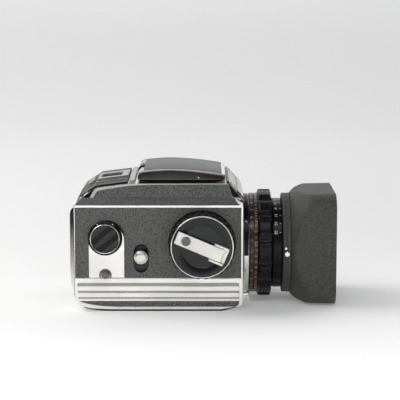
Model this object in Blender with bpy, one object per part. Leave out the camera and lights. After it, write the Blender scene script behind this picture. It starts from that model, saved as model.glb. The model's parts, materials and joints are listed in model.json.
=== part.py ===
"""Medium format single lens reflex camera with a square lens hood.

Lengths in the tables below are millimetres.  X points forward along the lens,
Y to the photographer's left and Z up.  The origin is the middle of the base.
"""
import math

import bmesh
import bpy
from mathutils import Vector

MM = 0.001                 # metres in one millimetre
GAP = 0.3                  # clearance kept between neighbouring pieces

# Body casting
HALF_WIDTH = 50.0
FRONT, REAR = 59.7, -57.0
CASTING_BOTTOM = 2.8
SHOULDER_Z, DECK_Z = 74.3, 79.0
STOREY_LOW_Y, STOREY_TOP_Y, STOREY_TOP = 44.0, 41.5, 88.4
PANEL_X = (-56.6, 58.6)    # leather panel on each side
PANEL_Z = (23.4, 72.9)
POCKET_Y = 38.5            # floor of the gear space behind each side plate
PLATE_Y = (47.0, 49.0)
LEATHER_Y = (49.3, 50.0)

# Lens, all turned about its axis
LENS_Z = 40.0
BARREL_R, BORE_R = 28.0, 24.0
RING_R, GRIP_R, APERTURE_R = 35.8, 38.5, 32.3
HOOD_FRONT = 125.6
HOOD_HALF = 39.4

# Wind knob, gear train and film transport
WIND_X, WIND_Z, WIND_R = 31.5, 47.5, 21.6
SPOOL_X, TAKEUP_Z, SUPPLY_Z = -35.6, 51.5, 25.7
GEAR_MODULE = 1.2
WIND_TEETH, IDLER_TEETH = 20, 18
GEAR_Y = (-44.0, -41.5)
CRANK_ANGLE = math.radians(-23)
HINGE_ALONG, HINGE_Y = 14.0, -66.0   # crank hinge, along the bar and across the knob
POST_ALONG = -12.0

# Reflex mirror and finder
MIRROR_PIVOT = (38.0, 22.3)
MIRROR_LONG, MIRROR_HALF = 50.0, 27.0
LID_HINGE = (47.0, 91.0)
PANEL_AXIS_Y, PANEL_AXIS_Z, PANEL_HIGH = 31.5, 89.2, 28.0
REAR_PANEL_AXIS = (-10.9, 90.4)


# --------------------------------------------------------------- toolkit
def clear_scene():
    for obj in list(bpy.data.objects):
        bpy.data.objects.remove(obj, do_unlink=True)


def finish(name, colour, roughness, metallic):
    mat = bpy.data.materials.new(name)
    mat.use_nodes = True
    shader = mat.node_tree.nodes["Principled BSDF"]
    shader.inputs["Base Color"].default_value = (*colour, 1.0)
    shader.inputs["Roughness"].default_value = roughness
    shader.inputs["Metallic"].default_value = metallic
    return mat


def new_object(name, verts, faces, mat, origin=(0, 0, 0)):
    """Closed mesh from millimetre points, its object standing at origin."""
    mesh = bpy.data.meshes.new(name)
    base = Vector(origin)
    mesh.from_pydata([(Vector(v) - base) * MM for v in verts], [], faces)
    bm = bmesh.new()
    bm.from_mesh(mesh)
    bmesh.ops.recalc_face_normals(bm, faces=bm.faces)
    bm.to_mesh(mesh)
    bm.free()
    mesh.shade_smooth()
    mesh.set_sharp_from_angle(angle=math.radians(35))
    mesh.materials.append(mat)
    obj = bpy.data.objects.new(name, mesh)
    obj.location = base * MM
    bpy.context.scene.collection.objects.link(obj)
    return obj


def loft(name, loops, mat, origin=(0, 0, 0), ring=False):
    """Skin through loops of equal length; capped, or closed as a ring."""
    count = len(loops[0])
    verts = [point for loop in loops for point in loop]
    faces = []
    spans = len(loops) if ring else len(loops) - 1
    for i in range(spans):
        a, b = i * count, (i + 1) % len(loops) * count
        for j in range(count):
            k = (j + 1) % count
            faces.append((a + j, a + k, b + k, b + j))
    if not ring:
        faces.append(tuple(range(count)))
        faces.append(tuple(range(len(verts) - count, len(verts))))
    return new_object(name, verts, faces, mat, origin)


def place(axis, u, v, t):
    """Point (u, v) of a plane across the named axis, at height t."""
    return {"x": (t, u, v), "y": (u, t, v), "z": (u, v, t)}[axis]


def prism(name, outline, axis, low, high, mat, origin=(0, 0, 0)):
    loops = [[place(axis, u, v, t) for u, v in outline] for t in (low, high)]
    return loft(name, loops, mat, origin)


def box(name, x, y, z, mat, origin=(0, 0, 0)):
    outline = [(x[0], y[0]), (x[1], y[0]), (x[1], y[1]), (x[0], y[1])]
    return prism(name, outline, "z", z[0], z[1], mat, origin)


def arc(cx, cy, radius, start, end, steps):
    """Points of a circular arc, angles in degrees."""
    points = []
    for i in range(steps + 1):
        a = math.radians(start + (end - start) * i / steps)
        points.append((cx + radius * math.cos(a), cy + radius * math.sin(a)))
    return points


def circle(cx, cy, radius, count):
    return arc(cx, cy, radius, 0, 360, count)[:-1]


def rounded(x0, z0, x1, z1, radius, steps=3):
    """Rectangle with round corners, counter-clockwise."""
    return (arc(x1 - radius, z1 - radius, radius, 0, 90, steps)
            + arc(x0 + radius, z1 - radius, radius, 90, 180, steps)
            + arc(x0 + radius, z0 + radius, radius, 180, 270, steps)
            + arc(x1 - radius, z0 + radius, radius, 270, 360, steps))


def lathe(name, profile, axis, centre, mat, count=36, origin=None):
    """Turned ring: profile is a closed loop of (radius, height) points."""
    cu, cv = centre
    loops = [[place(axis, u, v, t) for u, v in circle(cu, cv, r, count)]
             for r, t in profile]
    base = origin or place(axis, cu, cv, profile[0][1])
    return loft(name, loops, mat, base, ring=True)


def turned(name, profile, axis, centre, mat, count=24, origin=None):
    """Turned solid: profile runs from one flat end to the other."""
    cu, cv = centre
    loops = [[place(axis, u, v, t) for u, v in circle(cu, cv, r, count)]
             for r, t in profile]
    base = origin or place(axis, cu, cv, profile[0][1])
    return loft(name, loops, mat, base)


def combine(obj, tool, operation="DIFFERENCE"):
    """Boolean of obj with a guide object, which stays out of the model."""
    tool.hide_render = True
    tool.display_type = "WIRE"
    cut = obj.modifiers.new(operation.lower(), "BOOLEAN")
    cut.operation = operation
    cut.object = tool
    return obj


def drill(obj, axis, centre, radius, low, high, count=24):
    tool = turned("cutter", [(radius, low), (radius, high)], axis, centre,
                  obj.data.materials[0], count)
    return combine(obj, tool)


def pocket(obj, x, y, z):
    return combine(obj, box("cutter", x, y, z, obj.data.materials[0]))


# ------------------------------------------------------------- materials
def make_finishes():
    return {
        "chrome": finish("chrome", (0.62, 0.61, 0.58), 0.22, 1.0),
        "satin": finish("satin_metal", (0.72, 0.71, 0.69), 0.4, 1.0),
        "grey": finish("grey_paint", (0.25, 0.25, 0.24), 0.35, 0.4),
        "leather": finish("leather", (0.06, 0.063, 0.06), 0.6, 0.0),
        "black": finish("black_paint", (0.012, 0.012, 0.013), 0.4, 0.0),
        "hood": finish("hood_paint", (0.05, 0.05, 0.045), 0.45, 0.0),
        "steel": finish("steel", (0.45, 0.45, 0.46), 0.35, 1.0),
        "brass": finish("brass", (0.6, 0.45, 0.2), 0.35, 1.0),
        "glass": finish("glass", (0.75, 0.8, 0.85), 0.05, 0.0),
        "mirror": finish("mirror", (0.85, 0.86, 0.88), 0.03, 1.0),
    }


# ---------------------------------------------------------------- casing
def casting_section():
    """Half section across the body: grooves, straight side, shoulder, storey."""
    w = HALF_WIDTH
    half = [(w, CASTING_BOTTOM), (w, 8.5), (w - 0.4, 8.8), (w, 9.1)]
    half += [(w, 13.2), (w - 0.4, 13.5), (w, 13.8)]
    half += [(w, 17.7), (w - 0.9, 17.9), (w - 0.9, 19.0), (w, 19.2)]
    half += [(w, SHOULDER_Z), (STOREY_LOW_Y + 1.3, DECK_Z)]
    half += [(STOREY_LOW_Y, DECK_Z), (STOREY_TOP_Y, STOREY_TOP)]
    return half + [(-y, z) for y, z in reversed(half)]


def casting_silhouette():
    """Side outline: rising rear heel, front chamfer, sloping front and rear top."""
    heel = [(REAR, 9.0), (-56.4, 7.2), (-54.6, 5.0), (-51.4, CASTING_BOTTOM)]
    front = [(56.4, CASTING_BOTTOM), (59.0, 4.0), (FRONT, 5.6), (FRONT, 76.0),
             (57.0, 80.0)]
    top = [(49.5, 88.5), (-19.0, 88.5), (-42.0, 85.5), (-54.0, 77.5)]
    return heel + front + top + [(REAR, 74.0)]


def facet_cutter(side, mat):
    """Wedge that slices the bright facet off one front shoulder corner."""
    normal = Vector((0.396, side * 0.417, 0.816)).normalized()
    anchor = Vector((53.0, side * 45.3, DECK_Z))
    lower = []
    for x, y in ((51.5, 44.6), (61.0, 44.6), (61.0, 51.5), (51.5, 51.5)):
        y *= side
        run = normal.x * (x - anchor.x) + normal.y * (y - anchor.y)
        lower.append(Vector((x, y, anchor.z - run / normal.z)))
    upper = [point + normal * 10 for point in lower]
    return loft("cutter", [lower, upper], mat)


def make_casting(mats):
    """Cast body: mirror chamber, film chamber, side pockets, lens throat."""
    body = prism("body_casting", casting_section(), "x", -58.0, 61.0, mats["chrome"])
    shell = prism("cutter", casting_silhouette(), "y", -55.0, 55.0, mats["chrome"])
    combine(body, shell, "INTERSECT")
    pocket(body, (-15.5, 56.0), (-31.0, 31.0), (8.0, 77.0))
    pocket(body, (-10.5, 45.5), (-29.0, 29.0), (76.0, 95.0))
    pocket(body, (-60.0, -19.5), (-34.6, 34.6), (7.0, 71.0))
    pocket(body, (-20.0, -15.0), (-27.0, 27.0), (13.0, 67.0))
    for side in (-1, 1):
        span = sorted((side * POCKET_Y, side * 52.0))
        pocket(body, PANEL_X, span, PANEL_Z)
        combine(body, facet_cutter(side, mats["chrome"]))
        wall = sorted((side * 33.0, side * 40.0))
        drill(body, "y", (SPOOL_X, TAKEUP_Z), 3.0, *wall, 16)
        drill(body, "y", (SPOOL_X, SUPPLY_Z), 2.8, *wall, 16)
    drill(body, "x", (0.0, LENS_Z), 30.5, 55.0, 62.0, 48)
    drill(body, "x", (-42.0, 9.3), 3.4, 56.6, 62.0, 20)
    drill(body, "x", (-42.0, 9.3), 2.3, 48.0, 57.0, 20)
    drill(body, "z", (20.0, 0.0), 6.4, 0.0, 9.0, 24)
    return body


def side_outline(inset):
    return rounded(PANEL_X[0] + inset, PANEL_Z[0] + inset,
                   PANEL_X[1] - inset, PANEL_Z[1] - inset, 1.5, 2)


def stadium(cx, z0, z1, radius, steps=8):
    return (arc(cx, z1 - radius, radius, 0, 180, steps)
            + arc(cx, z0 + radius, radius, 180, 360, steps))


def make_side(mats, side, name):
    """Inner plate and outer leather of one side, with their shaft holes."""
    inner = sorted((side * PLATE_Y[0], side * PLATE_Y[1]))
    outer = sorted((side * LEATHER_Y[0], side * LEATHER_Y[1]))
    through = sorted((side * 46.0, side * 52.0))
    plate = prism(name + "_side_plate", side_outline(GAP), "y", *inner, mats["black"])
    skin = prism(name + "_leather", side_outline(0.1), "y", *outer, mats["leather"])
    slot = prism("cutter", stadium(-10.8, 27.0, 47.4, 5.25), "y", *through,
                 mats["leather"])
    combine(skin, slot)
    shaft = 4.4 if side < 0 else 3.4
    drill(plate, "y", (WIND_X, WIND_Z), shaft, *through)
    drill(skin, "y", (WIND_X, WIND_Z), 23.5 if side < 0 else 16.3, *through, 40)
    if side < 0:
        tongue = prism("cutter", film_plate_outline(0.3), "y", *through, mats["leather"])
        combine(skin, tongue)
        drill(plate, "y", (SPOOL_X, TAKEUP_Z), 3.0, *through, 16)
        drill(plate, "y", (SPOOL_X, SUPPLY_Z), 2.8, *through, 16)


def film_plate_outline(grow):
    """Tongue that rises from the lower band around the film knob."""
    left, right, foot = -47.0 - grow, -22.5 + grow, PANEL_Z[0] - grow + 0.3
    middle, radius = (left + right) / 2, (right - left) / 2
    return [(left, foot), (right, foot)] + arc(middle, TAKEUP_Z, radius, 0, 180, 12)


def make_side_trim(mats):
    tongue = prism("film_knob_plate", film_plate_outline(0), "y", -50.4, -49.3,
                   mats["chrome"])
    drill(tongue, "y", (SPOOL_X, TAKEUP_Z), 3.0, -52.0, -48.0, 16)
    drill(tongue, "y", (SPOOL_X, SUPPLY_Z), 2.9, -52.0, -48.0, 16)
    for side, name in ((-1, "right"), (1, "left")):
        stud = [(3.6, side * 49.3), (3.6, side * 50.2), (2.0, side * 50.4),
                (2.0, side * 52.3), (4.8, side * 52.6), (4.8, side * 53.6),
                (3.4, side * 54.6)]
        turned("strap_stud_" + name, stud, "y", (-10.8, 38.5), mats["chrome"], 20)
    ring = [(5.0, -49.3), (23.2, -49.3), (23.2, -51.3), (22.6, -51.6), (5.0, -51.6)]
    lathe("wind_knob_base", ring, "y", (WIND_X, WIND_Z), mats["chrome"], 48)
    socket = [(2.2, 49.3), (4.0, 49.3), (4.0, 52.4), (3.4, 53.0), (2.2, 53.0)]
    skin_hole = bpy.data.objects["left_leather"]
    drill(skin_hole, "y", (48.0, 31.0), 4.4, 48.0, 52.0, 20)
    lathe("sync_socket", socket, "y", (48.0, 31.0), mats["chrome"], 20)


def make_finder_leather(mats):
    """Thin leaning leather strip on each side of the finder storey."""
    ends = [(-46.0, DECK_Z + 0.4), (52.6, DECK_Z + 0.4), (49.4, 88.0), (-19.0, 88.0),
            (-41.4, 85.1), (-43.6, 83.6)]
    lean = (STOREY_LOW_Y - STOREY_TOP_Y) / (STOREY_TOP - DECK_Z)
    for side, name in ((-1, "right"), (1, "left")):
        loops = []
        for depth in (0.3, 1.0):
            loops.append([(x, side * (STOREY_LOW_Y - lean * (z - DECK_Z) + depth), z)
                          for x, z in ends])
        loft("finder_leather_" + name, loops, mats["leather"])


def make_base(mats):
    """Sled-shaped base plate with the tripod bush."""
    sled = [(-50.8, 2.5), (-47.7, 1.5), (-44.2, 0.9), (-38.0, 0.3), (-32.0, 0.0),
            (45.3, 0.0), (55.6, 2.5)]
    base = prism("base_plate", sled, "y", -HALF_WIDTH, HALF_WIDTH, mats["chrome"])
    drill(base, "z", (20.0, 0.0), 6.4, -1.0, 4.0)
    bush = [(3.2, 0.2), (6.1, 0.2), (6.1, 8.4), (3.2, 8.4)]
    lathe("tripod_socket", bush, "z", (20.0, 0.0), mats["steel"], 24)


def make_top_trim(mats):
    """Front name plate, rear deck plate and the sliding door latch."""
    front = [(50.0, 90.0), (58.2, 81.3), (61.0, 76.6), (61.0, 75.4), (60.1, 75.4),
             (60.1, 76.2), (57.4, 80.3), (50.0, 88.7)]
    prism("name_plate", front, "y", -40.0, 40.0, mats["satin"])
    deck = [(-19.5, 89.6), (-42.2, 86.7), (-53.6, 79.1), (-53.6, 78.2),
            (-42.0, 85.9), (-19.5, 88.9)]
    prism("rear_deck_plate", deck, "y", -38.0, 38.0, mats["grey"])
    latch = [(-44.6, 85.5), (-49.6, 82.1), (-50.2, 83.6), (-45.4, 86.8)]
    prism("door_latch", latch, "y", -7.0, 7.0, mats["chrome"], (-47.5, 0.0, 84.5))


def make_rear_door(mats):
    """Rear door curving in at head and foot, hinged along its foot."""
    w = HALF_WIDTH - 0.2
    plan = [(-57.3, -w), (-57.3, w)] + arc(-57.8, w - 2.5, 2.5, 90, 180, 3)
    plan += arc(-57.8, -w + 2.5, 2.5, 180, 270, 3)
    door = prism("rear_door", plan, "z", 8.0, 75.0, mats["chrome"],
                 (-57.8, 0.0, 9.6))
    profile = [(-56.0, 72.6), (-57.9, 72.6), (-59.2, 71.4), (-60.0, 69.8), (-60.4, 67.8),
               (-60.4, 30.0), (-60.0, 22.0), (-59.4, 17.0), (-58.4, 12.2),
               (-57.8, 10.0), (-56.0, 10.0)]
    shell = prism("cutter", profile, "y", -55.0, 55.0, mats["chrome"])
    return combine(door, shell, "INTERSECT")


# ------------------------------------------------------------------ lens
def make_lens_fixed(mats):
    """Rings that stay with the body: mount, depth scale and helicoid sleeve."""
    axis = (0.0, LENS_Z)
    mount = [(30.6, 60.1), (34.6, 60.1), (35.0, 60.6), (35.0, 64.3), (34.5, 64.8),
             (30.6, 64.8)]
    lathe("lens_mount_ring", mount, "x", axis, mats["chrome"], 40)
    depth = [(30.6, 65.1), (RING_R, 65.1), (RING_R, 67.9), (30.6, 67.9)]
    lathe("depth_scale_ring", depth, "x", axis, mats["black"], 40)
    sleeve = [(28.3, 56.5), (30.2, 56.5), (30.2, 80.5), (28.3, 80.5)]
    lathe("helicoid_sleeve", sleeve, "x", axis, mats["brass"], 40)


def make_focus_ring(mats):
    axis = (0.0, LENS_Z)
    profile = [(30.6, 68.2), (RING_R, 68.2), (RING_R, 70.9), (37.6, 71.3),
               (GRIP_R, 72.4), (GRIP_R, 79.4), (37.6, 80.4), (35.0, 80.8),
               (30.6, 80.8)]
    lathe("focus_ring", profile, "x", axis, mats["black"], 40)


def lens_disc(mats, name, low, high, sag):
    """Glass element: flat rear, front face crowned by sag."""
    r = BORE_R - 0.3
    profile = [(r, low), (r, high - sag), (r * 0.7, high - sag * 0.5),
               (r * 0.35, high - sag * 0.12)]
    turned(name, profile, "x", (0.0, LENS_Z), mats["glass"], 28)


def make_barrel(mats):
    """Sliding barrel with its elements, iris, aperture ring and hood."""
    axis = (0.0, LENS_Z)
    tube = [(BORE_R, 48.0), (BARREL_R, 48.0), (BARREL_R, 88.2), (31.5, 88.2),
            (31.5, 93.0), (28.6, 93.0), (BORE_R, 90.0)]
    lathe("lens_barrel", tube, "x", axis, mats["black"], 40)
    iris = [(8.0, 70.0), (BORE_R - GAP, 70.0), (BORE_R - GAP, 70.8), (8.0, 70.8)]
    lathe("iris_blades", iris, "x", axis, mats["steel"], 24)
    lens_disc(mats, "rear_element", 51.0, 56.0, 1.5)
    lens_disc(mats, "middle_element", 60.0, 66.0, 2.5)
    lens_disc(mats, "front_element", 80.0, 87.0, 3.5)
    ring = [(BARREL_R + GAP, 81.4), (31.8, 81.4), (APERTURE_R, 81.9),
            (APERTURE_R, 87.4), (31.8, 87.9), (BARREL_R + GAP, 87.9)]
    lathe("aperture_ring", ring, "x", axis, mats["black"], 40)


def square_loop(x, half, radius, steps=7):
    """Rounded square about the lens axis, or a circle when radius is half."""
    points = rounded(-half, LENS_Z - half, half, LENS_Z + half, radius, steps)
    return [(x, y, z) for y, z in points]


def make_hood(mats):
    """Square hood and the round collar that grips the filter rim."""
    loops = [square_loop(88.5, 35.8, 35.8), square_loop(94.1, 35.8, 35.8),
             square_loop(95.0, 36.4, 30.0), square_loop(97.0, 38.0, 23.0),
             square_loop(100.0, 38.8, 18.0), square_loop(105.0, 39.1, 14.0),
             square_loop(HOOD_FRONT, HOOD_HALF, 12.5),
             square_loop(HOOD_FRONT, HOOD_HALF - 1.4, 11.2),
             square_loop(105.0, 37.3, 12.5), square_loop(99.0, 36.4, 18.0),
             square_loop(97.0, 34.0, 25.0), square_loop(96.0, 29.0, 29.0),
             square_loop(93.5, 29.0, 29.0), square_loop(93.5, 31.8, 31.8),
             square_loop(88.5, 31.8, 31.8)]
    hood = loft("lens_hood", loops, mats["hood"], ring=True)
    drill(hood, "y", (91.2, 37.8), 1.5, -40.0, -25.0, 16)
    screw = [(1.2, -32.0), (1.2, -36.1), (1.9, -36.2), (1.9, -37.6), (1.5, -38.0)]
    turned("hood_screw", screw, "y", (91.2, 37.8), mats["chrome"], 16)


# ------------------------------------------------- winding and transport
def gear_loop(cx, cz, teeth, phase, y):
    """Outline of a spur gear as four points to each tooth."""
    pitch = GEAR_MODULE * teeth / 2
    root, tip = pitch - 0.95 * GEAR_MODULE, pitch + 0.72 * GEAR_MODULE
    step = 2 * math.pi / teeth
    shape = ((-0.26, root), (-0.12, tip), (0.12, tip), (0.26, root))
    points = []
    for i in range(teeth):
        for share, radius in shape:
            a = phase + (i + share) * step
            points.append((cx + radius * math.cos(a), y, cz + radius * math.sin(a)))
    return points


def gear_on_shaft(name, centre, teeth, phase, stages, mat):
    """Gear at GEAR_Y on a shaft whose other stages are (radius, y)."""
    cx, cz = centre
    count = teeth * 4
    first = math.degrees(phase)
    loops = []
    for radius, y in stages:
        if radius is None:
            loops.append(gear_loop(cx, cz, teeth, phase, y))
        else:
            round_loop = arc(cx, cz, radius, first, first + 360, count)[:-1]
            loops.append([(u, y, v) for u, v in round_loop])
    return loft(name, loops, mat, (cx, GEAR_Y[0], cz))


def meshed_phase(phase, teeth, other_teeth, line):
    """Phase of the next gear so that its gap faces this gear's tooth."""
    offset = phase - line
    return line + math.pi - offset * teeth / other_teeth + math.pi / other_teeth


def make_gears(mats):
    """Four gears in a row from the wind shaft back to the take-up shaft."""
    start, end = Vector((WIND_X, WIND_Z)), Vector((SPOOL_X, TAKEUP_Z))
    line = (end - start).normalized()
    angle = math.atan2(line.y, line.x)
    near, far = GEAR_Y
    big = GEAR_MODULE * WIND_TEETH / 2
    small = GEAR_MODULE * IDLER_TEETH / 2
    phase = angle
    wind = [(4.0, -38.8), (4.0, far), (None, far), (None, near), (4.0, near),
            (4.0, -51.6)]
    gear_on_shaft("wind_gear", start, WIND_TEETH, phase, wind, mats["steel"])
    idler = [(2.0, -38.8), (2.0, far), (None, far), (None, near), (2.0, near),
             (2.0, -46.7)]
    phase = meshed_phase(phase, WIND_TEETH, IDLER_TEETH, angle)
    first = start + line * (big + small)
    gear_on_shaft("idler_gear_front", first, IDLER_TEETH, phase, idler, mats["brass"])
    phase = meshed_phase(phase, IDLER_TEETH, IDLER_TEETH, angle)
    second = first + line * 2 * small
    gear_on_shaft("idler_gear_rear", second, IDLER_TEETH, phase, idler, mats["brass"])
    phase = meshed_phase(phase, IDLER_TEETH, WIND_TEETH, angle)
    takeup = [(2.6, -33.6), (2.6, far), (None, far), (None, near), (2.6, near),
              (2.6, -50.2)]
    gear_on_shaft("takeup_gear", end, WIND_TEETH, phase, takeup, mats["steel"])


def crank_point(along, across, y):
    """Point of the wind knob's tilted frame, in body coordinates."""
    c, s = math.cos(CRANK_ANGLE), math.sin(CRANK_ANGLE)
    return (WIND_X + along * c - across * s, y, WIND_Z + along * s + across * c)


def crank_prism(name, outline, low, high, mat, origin):
    """Extrude an (along, y) outline across the crank from low to high."""
    loops = [[crank_point(u, w, y) for u, y in outline] for w in (low, high)]
    return loft(name, loops, mat, origin)


def make_wind_knob(mats):
    """Dished knob with a pocket for the folded crank's finger post."""
    profile = [(19.8, -62.6), (20.2, -64.6), (21.2, -64.6), (WIND_R, -64.2),
               (WIND_R, -62.4), (23.0, -62.0), (23.0, -53.0), (22.0, -51.9)]
    knob = turned("wind_knob", profile, "y", (WIND_X, WIND_Z), mats["black"], 48)
    post_x, _, post_z = crank_point(POST_ALONG, 0.0, 0.0)
    drill(knob, "y", (post_x, post_z), 4.6, -66.0, -57.0, 20)
    stem = [(2.8, -58.0), (2.8, -64.5), (1.2, -64.6), (1.2, -67.4), (2.6, -67.5),
            (2.6, -68.0)]
    turned("crank_finger_knob", stem, "y", (post_x, post_z), mats["black"], 16)
    make_crank(mats, (post_x, post_z))


def make_crank(mats, post):
    """Folding bar between two ears, on a cross pin at the hinge."""
    hinge = crank_point(HINGE_ALONG, 0.0, HINGE_Y)
    channel = [(-6.4, -62.9), (6.4, -62.9), (6.4, -67.2), (4.9, -67.2),
               (4.9, -64.2), (-4.9, -64.2), (-4.9, -67.2), (-6.4, -67.2)]
    loops = [[crank_point(u, w, y) for w, y in channel] for u in (7.0, 17.5)]
    bracket = loft("crank_bracket", loops, mats["satin"], hinge)
    bar = [(-19.0, -64.8), (HINGE_ALONG + 0.9, -64.8), (HINGE_ALONG + 0.9, -67.2),
           (-18.2, -67.2), (-19.0, -66.4)]
    crank = crank_prism("wind_crank", bar, -4.5, 4.5, mats["satin"], hinge)
    drill(crank, "y", post, 1.5, -68.0, -64.0, 16)
    bore = circle(HINGE_ALONG, HINGE_Y, 0.85, 12)
    tool = crank_prism("cutter", bore, -8.0, 8.0, mats["satin"], hinge)
    combine(bracket, tool)
    combine(crank, tool)
    pin = circle(HINGE_ALONG, HINGE_Y, 0.6, 12)
    crank_prism("crank_pin", pin, -6.3, 6.3, mats["steel"], hinge)


def make_film_knob(mats):
    profile = [(12.0, -50.7), (12.0, -51.6), (10.2, -52.0), (10.4, -54.2),
               (9.8, -54.6)]
    turned("film_knob", profile, "y", (SPOOL_X, TAKEUP_Z), mats["black"], 28)
    button = [(2.0, -33.6), (2.0, -50.6), (2.6, -50.7), (2.6, -52.0), (2.1, -52.5)]
    turned("spool_button", button, "y", (SPOOL_X, SUPPLY_Z), mats["black"], 16)


def make_transport(mats):
    """Two film spools, guide rollers, film gate, pressure plate and shutter."""
    spool = [(12.4, -33.2), (12.4, -32.4), (5.0, -32.4), (5.0, 32.4), (12.4, 32.4),
             (12.4, 33.2)]
    turned("takeup_spool", spool, "y", (SPOOL_X, TAKEUP_Z), mats["black"], 24)
    turned("supply_spool", spool, "y", (SPOOL_X, SUPPLY_Z), mats["black"], 24)
    roller = [(2.6, -33.5), (2.6, 33.5)]
    turned("top_roller", roller, "y", (-29.0, 67.6), mats["steel"], 16)
    turned("bottom_roller", roller, "y", (-29.0, 10.4), mats["steel"], 16)
    gate = box("film_gate", (-21.6, -19.8), (-30.4, 30.4), (11.0, 69.0), mats["black"])
    pocket(gate, (-23.0, -18.0), (-27.0, 27.0), (13.5, 66.5))
    box("pressure_plate", (-23.1, -22.0), (-29.0, 29.0), (14.5, 65.5), mats["black"])
    box("shutter_curtain", (-15.1, -14.7), (-30.0, 30.0), (10.0, 70.0), mats["black"])


def make_buttons(mats):
    release = [(2.0, 52.0), (2.0, 59.4), (2.9, 59.6), (2.9, 62.4), (4.0, 62.6),
               (4.0, 63.9), (3.4, 64.4)]
    turned("shutter_release", release, "x", (-42.0, 9.3), mats["chrome"], 20)
    dial = [(3.0, 40.0), (3.0, 51.0), (15.0, 51.1), (15.0, 56.5), (14.0, 57.2),
            (6.0, 57.2), (5.4, 58.4)]
    turned("speed_dial", dial, "y", (WIND_X, WIND_Z), mats["black"], 36)


# ---------------------------------------------------- mirror and finder
def slanted(low, high, along):
    """Outline of a plate rising backwards at 45 degrees from its pivot."""
    px, pz = MIRROR_PIVOT
    c = math.sqrt(0.5)
    corners = [(along[0], low), (along[1], low), (along[1], high), (along[0], high)]
    return [(px - u * c + v * c, pz + u * c + v * c) for u, v in corners]


def make_mirror(mats):
    hinge = (MIRROR_PIVOT[0], 0.0, MIRROR_PIVOT[1])
    prism("mirror_frame", slanted(-2.4, -0.8, (-1.0, MIRROR_LONG)), "y",
          -MIRROR_HALF, MIRROR_HALF, mats["steel"], hinge)
    prism("mirror_glass", slanted(-0.5, 0.7, (0.5, MIRROR_LONG - 0.5)), "y",
          -MIRROR_HALF + 1, MIRROR_HALF - 1, mats["mirror"], hinge)


def lid_section(inset):
    """Long section of the lid: rear corner, crown, and fall to the front."""
    top = arc(-9.6 + inset, 92.6, 4.0, 180, 110, 3)
    crown = [(-4.0, 97.0 - inset), (8.0, 97.8 - inset), (24.0, 97.0 - inset),
             (40.0, 95.2 - inset), (47.8 - inset, 94.2 - inset)]
    return [(-13.6 + inset, 90.0 - inset)] + top + crown + [(47.8 - inset, 90.0 - inset)]


def make_lid(mats):
    """Crowned sheet lid, open below, hinged along its front edge."""
    origin = (LID_HINGE[0], 0.0, LID_HINGE[1])
    lid = prism("finder_lid", lid_section(0.0), "y", -35.0, 35.0, mats["grey"], origin)
    hollow = prism("cutter", lid_section(1.0), "y", -34.0, 34.0, mats["grey"])
    combine(lid, hollow)
    for side in (-1, 1):
        ear = box("cutter", (15.4, 18.6), sorted((side * 6.4, side * 8.0)),
                  (91.4, 96.8), mats["grey"])
        combine(lid, ear, "UNION")


def make_finder_panels(mats):
    """Folded side panels with mitred ends, and the rear panel above them."""
    a, z = PANEL_AXIS_Y, PANEL_AXIS_Z
    shape = [(-9.6, 0.3), (42.0, 0.3), (42.0, 3.5), (18.0, PANEL_HIGH),
             (16.5, PANEL_HIGH), (-9.6, 0.9)]
    for side, name in ((-1, "right"), (1, "left")):
        outline = [(x, side * (a - v)) for x, v in shape]
        prism("finder_panel_" + name, outline, "z", z - 0.4, z + 0.4, mats["black"],
              (15.0, side * a, z))
    rx, rz = REAR_PANEL_AXIS
    box("finder_panel_rear", (rx, rx + PANEL_HIGH), (-29.5, 29.5), (rz - 0.4, rz + 0.4),
        mats["black"], (rx, 0.0, rz))


def make_magnifier(mats):
    """Swinging magnifier arm under the lid, with its lens in a ring."""
    pivot = (17.0, 0.0, 92.2)
    arm = box("magnifier_arm", (1.0, 17.8), (-6.0, 6.0), (91.5, 92.9), mats["black"],
              pivot)
    ring = turned("cutter", [(11.2, 91.5), (11.2, 92.9)], "z", (2.0, 0.0),
                  mats["black"], 28)
    combine(arm, ring, "UNION")
    drill(arm, "z", (2.0, 0.0), 9.6, 90.0, 94.0, 28)
    glass = [(9.3, 91.6), (9.3, 92.5), (5.0, 92.9)]
    turned("magnifier_lens", glass, "z", (2.0, 0.0), mats["glass"], 24)


def make_screen(mats):
    frame = box("screen_frame", (-10.2, 45.2), (-28.7, 28.7), (78.6, 82.0), mats["black"])
    pocket(frame, (-8.0, 43.0), (-26.5, 26.5), (77.0, 84.0))
    box("focusing_screen", (-7.7, 42.7), (-26.2, 26.2), (79.4, 81.0), mats["glass"])


def main():
    clear_scene()
    mats = make_finishes()
    make_casting(mats)
    for side, name in ((-1, "right"), (1, "left")):
        make_side(mats, side, name)
    for build in (make_side_trim, make_finder_leather, make_base, make_top_trim,
                  make_rear_door, make_lens_fixed, make_focus_ring, make_barrel,
                  make_hood, make_gears, make_wind_knob, make_film_knob,
                  make_transport, make_buttons, make_mirror, make_lid,
                  make_finder_panels, make_magnifier, make_screen):
        build(mats)


main()
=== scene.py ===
"""Looks of the medium format reflex camera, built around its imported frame.

Helper functions take millimetres in the frame's axes: X forward, Y left, Z up.
"""
import json
from math import cos, hypot, pi, radians, sin, sqrt

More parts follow.
